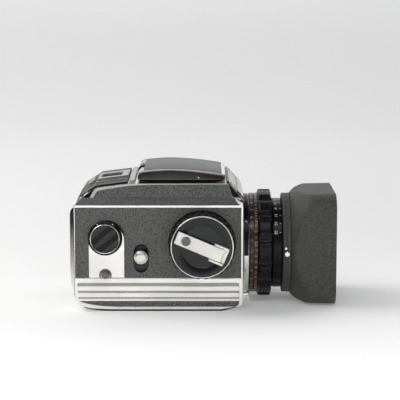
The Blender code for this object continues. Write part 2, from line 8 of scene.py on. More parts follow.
import bmesh
import bpy
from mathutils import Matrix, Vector

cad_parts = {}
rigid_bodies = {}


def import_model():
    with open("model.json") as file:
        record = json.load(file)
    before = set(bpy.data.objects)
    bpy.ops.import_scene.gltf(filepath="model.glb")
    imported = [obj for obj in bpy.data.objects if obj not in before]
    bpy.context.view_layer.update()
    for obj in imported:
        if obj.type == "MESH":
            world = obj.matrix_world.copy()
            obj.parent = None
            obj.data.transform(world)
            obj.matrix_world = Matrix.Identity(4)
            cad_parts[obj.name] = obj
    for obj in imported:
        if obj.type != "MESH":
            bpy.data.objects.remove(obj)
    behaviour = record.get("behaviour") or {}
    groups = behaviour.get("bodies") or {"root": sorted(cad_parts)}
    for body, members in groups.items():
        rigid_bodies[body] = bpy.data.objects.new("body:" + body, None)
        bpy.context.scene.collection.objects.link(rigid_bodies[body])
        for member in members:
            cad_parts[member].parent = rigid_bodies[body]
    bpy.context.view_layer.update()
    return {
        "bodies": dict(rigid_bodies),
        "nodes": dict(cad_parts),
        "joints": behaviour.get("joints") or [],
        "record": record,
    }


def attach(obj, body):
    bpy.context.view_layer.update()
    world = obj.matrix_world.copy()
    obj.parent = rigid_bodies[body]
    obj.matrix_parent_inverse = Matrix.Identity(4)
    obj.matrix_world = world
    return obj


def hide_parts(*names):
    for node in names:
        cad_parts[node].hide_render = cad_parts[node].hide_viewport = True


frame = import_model()

MM = 0.001
NODES = frame["nodes"]
LENS_Z = 40.0
WIND = (31.5, 47.5)
SPOOL_X, TAKEUP_Z, SUPPLY_Z = -35.6, 51.5, 25.7
TAKEUP = (SPOOL_X, TAKEUP_Z)
SUPPLY = (SPOOL_X, SUPPLY_Z)
CRANK_ANGLE = radians(-23)
STUD = (-10.8, 38.5)
RELEASE = (-42.0, 9.3)
TRIPOD = (20.0, 0.0)
LENS = (0.0, LENS_Z)
SIDES = ((-1, "right"), (1, "left"))


# --------------------------------------------------------------- toolkit
def clean(mesh, smooth=30, turn=False):
    """Merge doubled points, and shade smooth below the given angle."""
    bm = bmesh.new()
    bm.from_mesh(mesh)
    bmesh.ops.remove_doubles(bm, verts=bm.verts, dist=1e-6)
    if turn:
        bmesh.ops.recalc_face_normals(bm, faces=bm.faces)
    bm.to_mesh(mesh)
    bm.free()
    mesh.shade_smooth()
    mesh.set_sharp_from_angle(angle=radians(smooth))


def piece(name, verts, faces, mat, body, smooth=30):
    """Closed mesh from millimetre points; with a body, a piece in its finish's slot."""
    mesh = bpy.data.meshes.new(name)
    mesh.from_pydata([Vector(v) * MM for v in verts], [], faces)
    clean(mesh, smooth, turn=True)
    mesh.materials.append(mat)
    obj = bpy.data.objects.new(name, mesh)
    bpy.context.scene.collection.objects.link(obj)
    if body:
        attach(obj, body)
    return obj


def loft_faces(loops, ring):
    count = len(loops[0])
    faces = []
    for i in range(len(loops) if ring else len(loops) - 1):
        a, b = i * count, (i + 1) % len(loops) * count
        for j in range(count):
            k = (j + 1) % count
            faces.append((a + j, a + k, b + k, b + j))
    if not ring:
        faces.append(tuple(range(count)))
        faces.append(tuple(range((len(loops) - 1) * count, len(loops) * count)))
    return faces


def loft(name, loops, mat, body, ring=False, smooth=30):
    verts = [p for loop in loops for p in loop]
    return piece(name, verts, loft_faces(loops, ring), mat, body, smooth)


def place(axis, u, v, t):
    return {"x": (t, u, v), "y": (u, t, v), "z": (u, v, t)}[axis]


def prism(name, outline, axis, low, high, mat, body):
    loops = [[place(axis, u, v, t) for u, v in outline] for t in (low, high)]
    return loft(name, loops, mat, body)


def box(name, x, y, z, mat, body):
    outline = [(x[0], y[0]), (x[1], y[0]), (x[1], y[1]), (x[0], y[1])]
    return prism(name, outline, "z", *z, mat, body)


def flank(name, outline, side, low, high, mat):
    """Outline in (x, z) between two distances from the middle, on one side."""
    return prism(name, outline, "y", side * low, side * high, mat, "body")


def arc(cx, cy, radius, start, end, steps):
    points = []
    for i in range(steps + 1):
        a = radians(start + (end - start) * i / steps)
        points.append((cx + radius * cos(a), cy + radius * sin(a)))
    return points


def round_lens(x, radius, angle):
    """Point at this radius from the lens axis; the angle starts at the top."""
    return (x, -radius * sin(angle), LENS_Z + radius * cos(angle))


def circle(cx, cy, radius, count):
    return arc(cx, cy, radius, 0, 360, count)[:-1]


def rounded(x0, z0, x1, z1, radius, steps=6):
    return (arc(x1 - radius, z1 - radius, radius, 0, 90, steps)
            + arc(x0 + radius, z1 - radius, radius, 90, 180, steps)
            + arc(x0 + radius, z0 + radius, radius, 180, 270, steps)
            + arc(x1 - radius, z0 + radius, radius, 270, 360, steps))


def lathe(name, profile, axis, centre, mat, body, ring=False, count=96, smooth=30):
    """Turned piece; profile points are (radius, height along the axis)."""
    cu, cv = centre
    loops = [[place(axis, u, v, t) for u, v in circle(cu, cv, r, count)] for r, t in profile]
    return loft(name, loops, mat, body, ring, smooth)


def soften(obj, width):
    """Round the piece's edges by width millimetres."""
    bevel = obj.modifiers.new("bevel", "BEVEL")
    bevel.width = width * MM
    bevel.segments = 3
    bevel.limit_method = "ANGLE"
    bevel.angle_limit = radians(30)
    bevel.harden_normals = True
    return obj


def settle(obj):
    """Replace the piece's mesh by what its modifiers make of it."""
    bpy.context.view_layer.update()
    graph = bpy.context.evaluated_depsgraph_get()
    mesh = bpy.data.meshes.new_from_object(obj.evaluated_get(graph))
    obj.modifiers.clear()
    obj.data = mesh
    return obj


def carve(obj, tools):
    """Boolean with temporary guides, applied at once."""
    for tool in tools:
        cut = obj.modifiers.new("cut", "BOOLEAN")
        cut.operation = "DIFFERENCE"
        cut.object = tool
        settle(obj)
        bpy.data.objects.remove(tool, do_unlink=True)
    clean(obj.data)
    return obj


def drill(obj, axis, centre, radius, low, high, count=48):
    tool = lathe("tool", [(radius, low), (radius, high)], axis, centre, obj.data.materials[0], None,
                 count=count)
    return carve(obj, [tool])


def mill(obj, x, y, z):
    """Cut away what lies between these limits."""
    return carve(obj, [box("tool", x, y, z, obj.data.materials[0], None)])


# ------------------------------------------------------------- materials
CHROME_TINT = (0.86, 0.845, 0.80)
DOOR_TINT = (0.93, 0.915, 0.88)
INTERIOR_OR_SHADOW_BLACK = (0.012, 0.012, 0.012)


class Graph:
    """Node tree with short ways to add nodes and join them."""

    def __init__(self, tree, space):
        self.tree = tree
        self.coords = tree.nodes.new("ShaderNodeTexCoord").outputs[space]

    def node(self, kind, **inputs):
        made = self.tree.nodes.new(kind)
        for key, value in inputs.items():
            self.feed(made.inputs[key], value)
        return made

    def feed(self, socket, value):
        if isinstance(value, bpy.types.NodeSocket):
            self.tree.links.new(value, socket)
        else:
            socket.default_value = value

    def stretch(self, x, y, z):
        """Coordinates scaled differently along each axis."""
        return self.node("ShaderNodeMapping", Vector=self.coords, Scale=(x, y, z)).outputs[0]

    def noise(self, scale, detail=3.0, coords=None):
        coords = coords or self.coords
        made = self.node("ShaderNodeTexNoise", Vector=coords, Scale=scale, Detail=detail)
        return made.outputs["Fac"]

    def cells(self, scale):
        made = self.node("ShaderNodeTexVoronoi", Vector=self.coords, Scale=scale)
        made.feature = "SMOOTH_F1"
        return made.outputs["Distance"]

    def ramp(self, value, *stops):
        """Colour ramp: stops are (position, (r, g, b))."""
        made = self.node("ShaderNodeValToRGB", Fac=value)
        elements = made.color_ramp.elements
        while len(elements) < len(stops):
            elements.new(0.5)
        for element, (position, colour) in zip(elements, stops):
            element.position = position
            element.color = (*colour, 1.0)
        return made.outputs["Color"]

    def span(self, value, low, high, start=0.0, end=1.0):
        """Value mapped from start-end to low-high."""
        made = self.node("ShaderNodeMapRange")
        for socket, number in zip(made.inputs, (value, start, end, low, high)):
            self.feed(socket, number)
        return made.outputs[0]

    def math(self, operation, a, b=0.0, c=0.0):
        made = self.node("ShaderNodeMath")
        made.operation = operation
        for socket, value in zip(made.inputs, (a, b, c)):
            self.feed(socket, value)
        return made.outputs[0]

    def axis(self, name):
        return self.node("ShaderNodeSeparateXYZ", Vector=self.coords).outputs[name]

    def mix(self, factor, a, b):
        """Two (r, g, b) colours or colour sockets, mixed."""
        made = self.node("ShaderNodeMix")
        made.data_type = "RGBA"
        self.feed(made.inputs[0], factor)
        for socket, value in ((6, a), (7, b)):
            self.feed(made.inputs[socket], (*value, 1.0) if isinstance(value, tuple) else value)
        return made.outputs[2]


class Look(Graph):
    """One Principled material and the nodes that feed it."""

    def __init__(self, name, colour, roughness, metallic=0.0):
        self.mat = bpy.data.materials.new(name)
        self.mat.use_nodes = True
        super().__init__(self.mat.node_tree, "Object")
        self.set("Base Color", (*colour, 1.0))
        self.set("Roughness", roughness)
        self.set("Metallic", metallic)

    def set(self, socket, value):
        """Give a shader input a value or a socket."""
        self.feed(self.tree.nodes["Principled BSDF"].inputs[socket], value)

    def bump(self, height, strength, distance):
        """Bump whose distance is in millimetres."""
        made = self.node("ShaderNodeBump", Height=height, Strength=strength, Distance=distance * MM)
        self.set("Normal", made.outputs["Normal"])

    def fade(self, patches, tint, share, end=0.7):
        """Tint drifting in patches towards a share of itself."""
        far = tuple(min(1.0, c * share) for c in tint)
        return self.mix(self.span(patches, 0.0, 1.0, 0.35, end), tint, far)


def leather(name, low, high, grain=1250.0, patchy=0.15):
    """Pebbled leatherette: packed round grains, with painted shade darkening the creases between them."""
    look = Look(name, low, 0.6)
    pebble = look.cells(grain)
    fine = look.noise(grain * 2.4, 2.0)
    height = look.math("MULTIPLY_ADD", fine, 0.45, look.span(pebble, 1.0, 0.0, 0.0, 0.75))
    # Colour darkens with the bump's depth: painted shade in the creases, on top of the bump.
    tone = look.ramp(height, (0.2, low), (1.0, high))
    mottle = look.span(look.noise(grain * 0.45, 3.0), 0.0, 1.0, 0.35, 0.65)
    dim = tuple(c * 0.5 for c in high)
    look.set("Base Color", look.mix(look.math("MULTIPLY", mottle, patchy), tone,
                                    look.mix(mottle, dim, high)))
    look.set("Roughness", look.span(fine, 0.42, 0.72))
    look.bump(height, 0.9, 0.22)
    look.set("Specular IOR Level", 0.45)
    return look.mat


def plated(name, tint, roughness, worn=0.06, grain=(1.0, 1.0, 1.0)):
    """Plated or bare metal with faint handling marks along grain."""
    look = Look(name, tint, roughness, 1.0)
    marks = look.noise(160.0, 5.0, look.stretch(*grain))
    smear = look.noise(38.0, 3.0)
    look.set("Roughness", look.math("ADD", look.span(marks, roughness - worn / 2, roughness + worn),
                                    look.span(smear, 0.0, worn)))
    look.set("Base Color", look.fade(smear, tint, 0.86))
    look.bump(look.noise(900.0, 2.0, look.stretch(*grain)), 0.05, 0.02)
    return look.mat


def enamel(name, colour, roughness, speckle=1800.0, depth=0.02, coat=0.0, lift=1.6, shine=0.5):
    """Stoved enamel with a fine orange peel and slightly polished spots."""
    look = Look(name, colour, roughness)
    peel = look.noise(speckle, 3.0)
    rub = look.noise(70.0, 4.0)
    look.set("Base Color", look.fade(rub, colour, lift, 0.75))
    look.set("Roughness", look.span(peel, roughness - 0.06, roughness + 0.08))
    look.bump(peel, 0.5, depth)
    look.set("Specular IOR Level", shine)
    look.set("Coat Weight", coat)
    look.set("Coat Roughness", 0.08)
    return look.mat


def coated_glass(name, tint):
    look = Look(name, tint, 0.02)
    look.set("Transmission Weight", 1.0)
    look.set("IOR", 1.6)
    look.set("Specular IOR Level", 0.12)
    look.set("Roughness", look.span(look.noise(120.0, 3.0), 0.01, 0.05))
    return look.mat


def two_tone(name, outer_tint, roughness, *black_zones):
    """Plated outside, matt black inside any of the black zones (mm boxes): the body's black interior, or
    a band of painted shadow.
    """
    look = Look(name, outer_tint, roughness, 1.0)
    # Mask of the black zones: the body's real black interior, or painted shadow on the sled.
    inside = 0.0
    for black_zone in black_zones:
        within = 1.0
        for axis, (low, high) in zip("XYZ", black_zone):
            position = look.axis(axis)
            above = look.math("GREATER_THAN", position, low * MM)
            below = look.math("LESS_THAN", position, high * MM)
            within = look.math("MULTIPLY", within, look.math("MULTIPLY", above, below))
        inside = look.math("MAXIMUM", inside, within)
    marks = look.noise(160.0, 5.0)
    smear = look.noise(45.0, 4.0, look.stretch(0.25, 1.0, 1.0))
    look.set("Base Color", look.mix(inside, look.fade(smear, outer_tint, 0.8), INTERIOR_OR_SHADOW_BLACK))
    look.set("Metallic", look.math("SUBTRACT", 1.0, inside))
    rough = look.math("ADD", look.span(marks, roughness - 0.03, roughness + 0.05),
                      look.span(smear, 0.0, 0.08))
    look.set("Roughness", look.math("MULTIPLY_ADD", inside, 0.5, rough))
    return look.mat


def door_plating(tint, roughness):
    """Plated door whose rolled side edges darken towards the head: a painted dark reflection."""
    look = Look("door_plate", tint, roughness, 1.0)
    edge = look.math("GREATER_THAN", look.math("ABSOLUTE", look.axis("Y")), 47.2 * MM)
    height = look.span(look.axis("Z"), 0.0, 1.0, 0.014, 0.062)
    # Painted dark reflection on the side edges, from the plating at the foot to near black at the head.
    rolled = look.ramp(height, (0.0, tint), (0.45, (0.34, 0.33, 0.32)), (1.0, (0.025, 0.025, 0.028)))
    smear = look.noise(38.0, 3.0)
    look.set("Base Color", look.mix(edge, look.fade(smear, tint, 0.88), rolled))
    look.set("Roughness", look.span(look.noise(160.0, 5.0), roughness - 0.03, roughness + 0.06))
    return look.mat


CHROME = plated("chrome_plate", CHROME_TINT, 0.13, 0.05)
BAND_CHROME = plated("band_chrome", (0.95, 0.935, 0.90), 0.24, 0.06, (0.15, 1.0, 1.0))
SATIN = plated("satin_plate", (0.62, 0.61, 0.585), 0.34, 0.10, (1.0, 1.0, 0.2))
STEEL = plated("machined_steel", (0.52, 0.52, 0.53), 0.32, 0.10, (0.2, 1.0, 1.0))
BRASS = plated("brass_plate", (0.62, 0.47, 0.22), 0.3, 0.1, (1.0, 1.0, 0.2))
LEATHER = leather("body_leather", (0.014, 0.016, 0.014), (0.185, 0.191, 0.176))
ENAMEL = enamel("black_enamel", (0.006, 0.006, 0.007), 0.26, 2200.0, 0.008, shine=0.2)
MATT_BLACK = enamel("matt_black", (0.012, 0.012, 0.012), 0.62, 2600.0, 0.03, shine=0.12)
SKIRT = enamel("skirt_enamel", (0.030, 0.021, 0.020), 0.12, 900.0, 0.004, coat=0.8)
HOOD = leather("hood_crackle", (0.017, 0.017, 0.0155), (0.096, 0.096, 0.087), 1500.0, 0.08)
GLASS = coated_glass("coated_glass", (0.50, 0.52, 0.66))
SCREEN = coated_glass("ground_screen", (0.93, 0.95, 0.93))
MIRROR = plated("front_mirror", (0.88, 0.89, 0.91), 0.03, 0.02)
WHITE_FILL = enamel("white_fill", (0.78, 0.77, 0.72), 0.5, 1500.0, 0.01, lift=1.1)
TAN_FILL = enamel("tan_fill", (0.50, 0.36, 0.29), 0.5, 1500.0, 0.01, lift=1.1)
ORANGE_FILL = enamel("orange_fill", (0.50, 0.17, 0.08), 0.5, 1500.0, 0.01, lift=1.2)
# The sled's outer 1.3 mm on each side, below 2.6 mm, is matt black: painted contact shadow along the
# base's lower edge.
SLED_WITH_PAINTED_SHADOW = two_tone("sled_plate_painted_shadow", DOOR_TINT, 0.2, ((-60.0, 60.0), (-50.0, -48.6), (-1.0, 2.6)),
                ((-60.0, 60.0), (48.6, 50.0), (-1.0, 2.6)))
DOOR_PLATE = door_plating(DOOR_TINT, 0.22)
CREAM = plated("cream_satin", (0.90, 0.885, 0.83), 0.42, 0.06, (1.0, 1.0, 0.4))
NICKEL = plated("nickel_plate", (0.80, 0.76, 0.70), 0.22, 0.08)
GUNMETAL = plated("gunmetal", (0.20, 0.19, 0.185), 0.34, 0.10)
DISH_BLACK = enamel("dish_black", (0.008, 0.009, 0.010), 0.2, 1600.0, 0.006, coat=0.1, shine=0.35)
LID_GREY = enamel("lid_grey", (0.034, 0.034, 0.030), 0.34, 2400.0, 0.014, lift=1.35, shine=0.35)
RIM_HIGHLIGHT = enamel("painted_highlight_rim", (0.60, 0.59, 0.57), 0.3, 2000.0, 0.006, coat=0.2, lift=1.15)
BROW = enamel("brow_black", (0.010, 0.009, 0.009), 0.16, 1600.0, 0.004, coat=0.5)
DECK_GREY = enamel("deck_grey", (0.014, 0.014, 0.015), 0.4, 2400.0, 0.015, lift=1.3, shine=0.2)
CREAM_GREY = enamel("cream_grey", (0.42, 0.415, 0.395), 0.34, 2200.0, 0.01, lift=1.2)
# Dark chrome for the side band's groove: painted shade and dark reflection in the groove and between the
# ribs.
GROOVE_SHADE = plated("groove_painted_shade", (0.40, 0.385, 0.365), 0.34, 0.08, (0.15, 1.0, 1.0))
PAPER = enamel("backing_paper", (0.35, 0.30, 0.20), 0.7, 1500.0)
HIGHLIGHT_BEAD = enamel("painted_highlight_bead", (0.60, 0.54, 0.52), 0.15, 1800.0, 0.004, coat=0.5, lift=1.1)
RING_BLACK = enamel("ring_black", (0.022, 0.012, 0.010), 0.27, 1800.0, 0.01)


# ---------------------------------------------------------- frame pieces
def paint(mat, *names):
    """Give CAD nodes their finished material."""
    for name in names:
        data = NODES[name].data
        data.materials.clear()
        data.materials.append(mat)
        data.shade_smooth()
        data.set_sharp_from_angle(angle=radians(32))


def paint_frame():
    """Finish the CAD nodes that stay visible."""
    casting = two_tone("casting_plate", CHROME_TINT, 0.2,
                       ((-56.9, 59.2), (-38.2, 38.2), (7.0, 77.2)),
                       ((-14.2, 46.2), (-36.0, 36.0), (86.2, 88.35)),
                       ((-10.7, 45.7), (-29.2, 29.2), (75.0, 88.35)))
    paint(casting, "body_casting")
    paint(STEEL, "wind_gear", "takeup_gear", "top_roller", "bottom_roller", "mirror_frame", "crank_pin")
    paint(BRASS, "helicoid_sleeve", "idler_gear_front", "idler_gear_rear")
    paint(GLASS, "front_element", "middle_element", "rear_element", "magnifier_lens")
    paint(SCREEN, "focusing_screen")
    paint(MIRROR, "mirror_glass")
    paint(LEATHER, "right_leather", "left_leather", "finder_leather_right", "finder_leather_left")
    paint(MATT_BLACK, "right_side_plate", "left_side_plate", "film_gate", "pressure_plate",
          "shutter_curtain", "screen_frame", "finder_panel_right", "finder_panel_left",
          "finder_panel_rear", "magnifier_arm", "lens_barrel", "iris_blades")


# ------------------------------------------------------------- lens rings
SINK = 0.02
SCALE_R, BORE_R, APERTURE_R = 35.75, 30.7, 32.0


def digit_mesh(text, size, height, bold=0.0):
    """Points and faces of a short text, as thick as height."""
    curve = bpy.data.curves.new("digits", "FONT")
    curve.body = text
    curve.size = size
    curve.align_x = "CENTER"
    curve.extrude = height / 2
    curve.offset = bold
    curve.resolution_u = 3
    holder = bpy.data.objects.new("digits", curve)
    bpy.context.scene.collection.objects.link(holder)
    bpy.context.view_layer.update()
    graph = bpy.context.evaluated_depsgraph_get()
    mesh = bpy.data.meshes.new_from_object(holder.evaluated_get(graph))
    points = [tuple(vertex.co) for vertex in mesh.vertices]
    outline = [tuple(face.vertices) for face in mesh.polygons]
    bpy.data.objects.remove(holder, do_unlink=True)
    return points, outline


def joined(parts):
    """One (points, faces) pair from several."""
    verts, faces = [], []
    for more_verts, more_faces in parts:
        start = len(verts)
        verts += more_verts
        faces += [tuple(start + i for i in face) for face in more_faces]
    return verts, faces


def ring_text(entries, size, radius, base, height=0.08, bold=0.0):
    """Digits wrapped round the lens; entries are (text, degrees from the top)."""
    parts = []
    for text, degrees in entries:
        points, outline = digit_mesh(text, size, height, bold)
        middle, floor = radians(degrees), radius + height / 2 - SINK
        verts = [round_lens(base + up, floor + lift, middle + along / radius) for along, up,
                 lift in points]
        parts.append((verts, outline))
    return joined(parts)


def ring_marks(angles, radius, low, high, width, height=0.08):
    """Short engraved lines along the lens, filled with paint."""
    faces = [(0, 1, 3, 2), (4, 6, 7, 5), (0, 2, 6, 4), (1, 5, 7, 3), (0, 4, 5, 1), (2, 3, 7, 6)]
    half = width / 2 / radius
    parts = []
    for degrees in angles:
        verts = [round_lens(x, r, radians(degrees) + turn)
                 for r in (radius - SINK, radius + height - SINK)
                 for x in (low, high) for turn in (-half, half)]
        parts.append((verts, faces))
    return joined(parts)


def ring_piece(name, mat, body, *parts):
    """Piece made of several (points, faces) parts."""
    return piece(name, *joined(parts), mat, body)


def lobed_loop(x, base, rise, lobes, width, samples=14, soft=0.18):
    """Loop round the lens with smooth raised pads of the given share of pitch."""
    points = []
    for i in range(lobes * samples):
        share = (i % samples) / samples - 0.5
        edge = (width / 2 - abs(share)) / soft + 0.5
        edge = min(1.0, max(0.0, edge))
        r = base + rise * edge * edge * (3 - 2 * edge)
        a = 2 * pi * i / (lobes * samples)
        points.append(round_lens(x, r, a))
    return points


def lens_ring(name, profile, mat, body, count=128):
    """Turned ring about the lens axis; profile points are (radius, x)."""
    return lathe(name, profile, "x", LENS, mat, body, True, count)


def make_focus_ring():
    """Grip with waisted pads, and the distance scale behind it."""
    lobes, base, rise = 14, 36.5, 1.95
    stations = [(71.0, 0.0, 0.80), (71.5, 0.75, 0.80), (72.1, 1.0, 0.78), (73.6, 1.0, 0.70),
                (75.8, 1.0, 0.62), (78.0, 1.0, 0.70), (79.5, 1.0, 0.78), (80.1, 0.75, 0.80),
                (80.7, 0.0, 0.80)]
    loops = [lobed_loop(70.9, 35.8, 0.0, lobes, 0.7)]
    loops += [lobed_loop(x, base, rise * share, lobes, width) for x, share, width in stations]
    loops += [lobed_loop(80.75, 35.4, 0.0, lobes, 0.7), lobed_loop(80.75, BORE_R, 0.0, lobes, 0.7),
              lobed_loop(70.9, BORE_R, 0.0, lobes, 0.7)]
    grip = loft("focus_grip", loops, ENAMEL, "focus", True, 40)
    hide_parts("focus_ring")
    scale = [(BORE_R, 68.25), (35.55, 68.25), (SCALE_R, 68.45), (SCALE_R, 70.6), (35.5, 70.85),
             (BORE_R, 70.85)]
    lens_ring("focus_scale", scale, RING_BLACK, "focus")
    metres = ["1", "1.2", "1.5", "1.7", "2", "2.5", "3", "4", "5", "7", "10", "20"]
    feet = ["3.5", "4", "4.5", "5", "6", "7", "8", "10", "15", "20", "30", "60"]
    white = [(text, 12 + 14 * i) for i, text in enumerate(metres)]
    orange = [(text, 19 + 14 * i) for i, text in enumerate(feet)]
    ring_piece("distance_metres", TAN_FILL, "focus", ring_text(white, 2.9, SCALE_R, 68.5, 0.08, 0.03))
    ring_piece("distance_feet", ORANGE_FILL, "focus", ring_text(orange, 2.9, SCALE_R, 68.5, 0.08, 0.03))


def make_depth_scale():
    """Fixed ring of depth of field marks behind the distance scale."""
    profile = [(BORE_R, 65.15), (35.5, 65.15), (SCALE_R, 65.4), (SCALE_R, 67.7), (35.55, 67.9),
               (BORE_R, 67.9)]
    ring = lens_ring("depth_ring", profile, RING_BLACK, "body")
    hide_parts("depth_scale_ring")
    stops = ["22", "16", "11", "8", "4"]
    left = [(text, -62 + 11 * i) for i, text in enumerate(stops)]
    right = [(text, 62 - 11 * i) for i, text in enumerate(stops)]
    lines = [a for _, a in left + right] + [0]
    ring_piece("depth_digits", WHITE_FILL, "body", ring_text(left + right, 1.6, SCALE_R, 65.5))
    ring_piece("depth_lines", WHITE_FILL, "body", ring_marks(lines, SCALE_R, 66.9, 67.7, 0.28))
    far = [(text, 78 + 12 * i) for i, text in enumerate(("22", "16", "11", "8", "4", "2"))]
    ring_piece("depth_notes", ORANGE_FILL, "body", ring_text(far, 2.6, SCALE_R, 65.6, 0.08, 0.03))


def make_mount_ring():
    """Bright bayonet ring, a black band over its upper part that paints the ring's dark reflection, and
    its index dot.
    """
    profile = [(BORE_R, 60.1), (34.2, 60.1), (34.9, 60.5), (35.0, 61.2), (35.0, 63.9), (34.7, 64.5),
               (34.0, 64.8), (BORE_R, 64.8)]
    ring = lens_ring("mount_ring", profile, CHROME, "body")
    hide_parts("lens_mount_ring")
    # Black band over the ring's upper 192 degrees: painted dark reflection of the chrome.
    arcs = [(61.0, 35.02), (61.0, 35.3), (64.2, 35.3), (64.2, 35.02)]
    loops = []
    for i in range(97):
        a = radians(-96 + 2 * i)
        loops.append([round_lens(x, r, a) for x, r in arcs])
    loft("mount_painted_dark_reflection", loops, ENAMEL, "body")
    dots = ring_marks([56], 35.3, 62.0, 63.2, 1.2, 0.12)
    ring_piece("mount_index", WHITE_FILL, "body", dots)


def make_aperture_ring():
    """Aperture scale above, with knurled blocks round its lower half."""
    profile = [(28.5, 81.45), (31.6, 81.45), (APERTURE_R, 81.8), (APERTURE_R, 87.5), (31.6, 87.85),
               (28.5, 87.85)]
    ring = lens_ring("aperture_collar", profile, ENAMEL, "aperture")
    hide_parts("aperture_ring")
    stops = ["2.8", "4", "5.6", "8", "11", "16", "22"]
    entries = [(text, -4 + 12 * i) for i, text in enumerate(stops)]
    ring_piece("aperture_digits", WHITE_FILL, "aperture", ring_text(entries, 2.7, APERTURE_R, 82.8, 0.08,
                                                                    0.07))
    lines = [angle for _, angle in entries]
    ring_piece("aperture_lines", WHITE_FILL, "aperture", ring_marks(lines, APERTURE_R, 86.2, 87.4, 0.35))
    grips = []
    for block in range(9):
        middle = 108 + 21 * block
        angles = [middle - 6 + 2.4 * i for i in range(6)]
        grips.append(ring_marks(angles, APERTURE_R, 82.0, 87.3, 0.75, 0.28))
    ring_piece("aperture_knurl", ENAMEL, "aperture", *grips)


def make_barrel_front():
    """Filter rim, front bezel and its retaining ring inside the hood."""
    profile = [(24.1, 89.0), (28.4, 92.7), (29.2, 93.0), (31.3, 93.0), (31.4, 92.7), (31.4, 88.3),
               (28.2, 88.3), (28.1, 87.95), (24.1, 87.95)]
    lens_ring("filter_rim", profile, ENAMEL, "barrel")
    threads = [(24.6 + 0.5 * i, 89.6 + 0.46 * i) for i in range(7)]
    for i, (radius, x) in enumerate(threads):
        bead = [(radius, x), (radius + 0.25, x - 0.12), (radius + 0.4, x + 0.2)]
        lens_ring(f"baffle_thread_{i}", bead, MATT_BLACK, "barrel", 96)


# ------------------------------------------------------------------- hood
HOOD_HALF, HOOD_CORNER = 39.4, 12.5
HOOD_START, HOOD_FRONT, HOOD_NECK, HOOD_FLARE = 94.4, 125.6, 36.2, 1.15


def square_radius(angle, half, corner):
    """Distance from the axis to a round-cornered square at this angle."""
    c, s = abs(cos(angle)), abs(sin(angle))
    reach = half / max(c, s)
    flat = half - corner
    if min(c, s) * reach <= flat:
        return reach
    dot = flat * (c + s)
    return dot + sqrt(dot * dot - 2 * flat * flat + corner * corner)


def hood_point(angle, x, inset):
    """Square box rounded off behind by a cone about the lens axis."""
    grow = (x - HOOD_FRONT) / (HOOD_FRONT - HOOD_START) * 0.5
    box_radius = square_radius(angle, HOOD_HALF + grow - inset, HOOD_CORNER - inset * 0.5)
    cone = HOOD_NECK + HOOD_FLARE * (x - HOOD_START) - inset
    gap = cone - box_radius
    blend = 2.0
    if gap <= -blend:
        radius = cone
    elif gap >= blend:
        radius = box_radius
    else:
        share = (gap + blend) / (2 * blend)
        radius = cone * (1 - share) + box_radius * share - blend * share * (1 - share)
    return round_lens(x, radius, angle)


def make_hood():
    """Square metal hood on a clamped collar."""
    count = 192
    angles = [2 * pi * i / count for i in range(count)]

    def rounds(*stations):
        return [[round_lens(x, radius, a) for a in angles] for x, radius in stations]

    def crease(angle, inset):
        reach = square_radius(angle, HOOD_HALF - inset - 0.35, HOOD_CORNER - inset * 0.5)
        return HOOD_START + (reach - HOOD_NECK + inset) / HOOD_FLARE

    def skin(offsets, inset):
        rows = []
        for share, extra in offsets:
            row = []
            for a in angles:
                fold = crease(a, inset)
                x = HOOD_START + (fold - HOOD_START) * share + extra
                row.append(hood_point(a, min(x, HOOD_FRONT - 1.2), inset))
            rows.append(row)
        return rows

    def levels(*stations):
        return [[hood_point(a, HOOD_FRONT - back, inset) for a in angles] for back, inset in stations]

    outer = rounds((88.6, 32.0), (88.6, 35.4), (88.9, 35.75), (90.3, 35.75), (90.5, 35.45), (90.9, 35.45),
                   (91.1, 35.75), (93.8, 35.75), (94.1, 35.4), (94.25, 35.3))
    outer += skin([(0.0, 0.0), (0.35, 0.0), (0.7, 0.0), (1.0, -1.4), (1.0, -0.7), (1.0, 0.0), (1.0, 0.7),
                   (1.0, 1.4), (1.0, 3.0)], 0.0)
    outer += levels((1.0, 0.0), (0.35, 0.0), (0.0, 0.3), (0.0, 1.1), (0.3, 1.4))
    inner = levels((1.3, 1.4))
    inner += list(reversed(skin([(0.4, 0.0), (0.8, 0.0), (1.0, 0.0), (1.0, 1.5)], 1.4)))
    inner += rounds((96.0, 34.0), (95.9, 29.1), (93.6, 29.1), (93.6, 32.0))
    hood = loft("square_hood", outer + inner, HOOD, "barrel", True, 40)
    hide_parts("lens_hood")
    screw = [(1.2, -32.5), (1.2, -35.9), (1.9, -36.0), (1.95, -37.3), (1.6, -37.9), (0.9, -38.0)]
    head = lathe("clamp_screw_head", screw, "y", (91.2, 37.8), CHROME, "clamp_screw", count=40)
    mill(head, (90.95, 91.45), (-38.5, -37.5), (35.0, 41.0))
    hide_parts("hood_screw")
    nut = [(1.1, -35.4), (1.1, -36.0), (0.75, -36.3)]
    lathe("clamp_stop", nut, "y", (90.4, 41.6), CHROME, "barrel", count=24)


# ------------------------------------------------------ knobs and crank
def wind_loop(y, radii):
    """Loop round the wind axis through evenly spaced radii."""
    points = []
    for i, radius in enumerate(radii):
        a = 2 * pi * i / len(radii)
        points.append((WIND[0] + radius * cos(a), y, WIND[1] + radius * sin(a)))
    return points


def fluted_loop(y, radius, depth, flutes=26, samples=8):
    """Loop round the wind axis with shallow scallops of the given depth."""
    return wind_loop(y, [radius - depth * sin(pi * (i % samples / samples)) ** 2
                         for i in range(flutes * samples)])


def crank_point(along, across, y):
    """Point over the wind knob, in the folded crank's own axes."""
    c, s = cos(CRANK_ANGLE), sin(CRANK_ANGLE)
    return (WIND[0] + along * c - across * s, y, WIND[1] + along * s + across * c)


POST = crank_point(-12.0, 0.0, 0.0)[::2]


def crank_block(name, outline, low, high, mat, body):
    """Outline in (along, across), extruded between two heights over the knob."""
    loops = [[crank_point(u, w, y) for u, w in outline] for y in (low, high)]
    return loft(name, loops, mat, body)


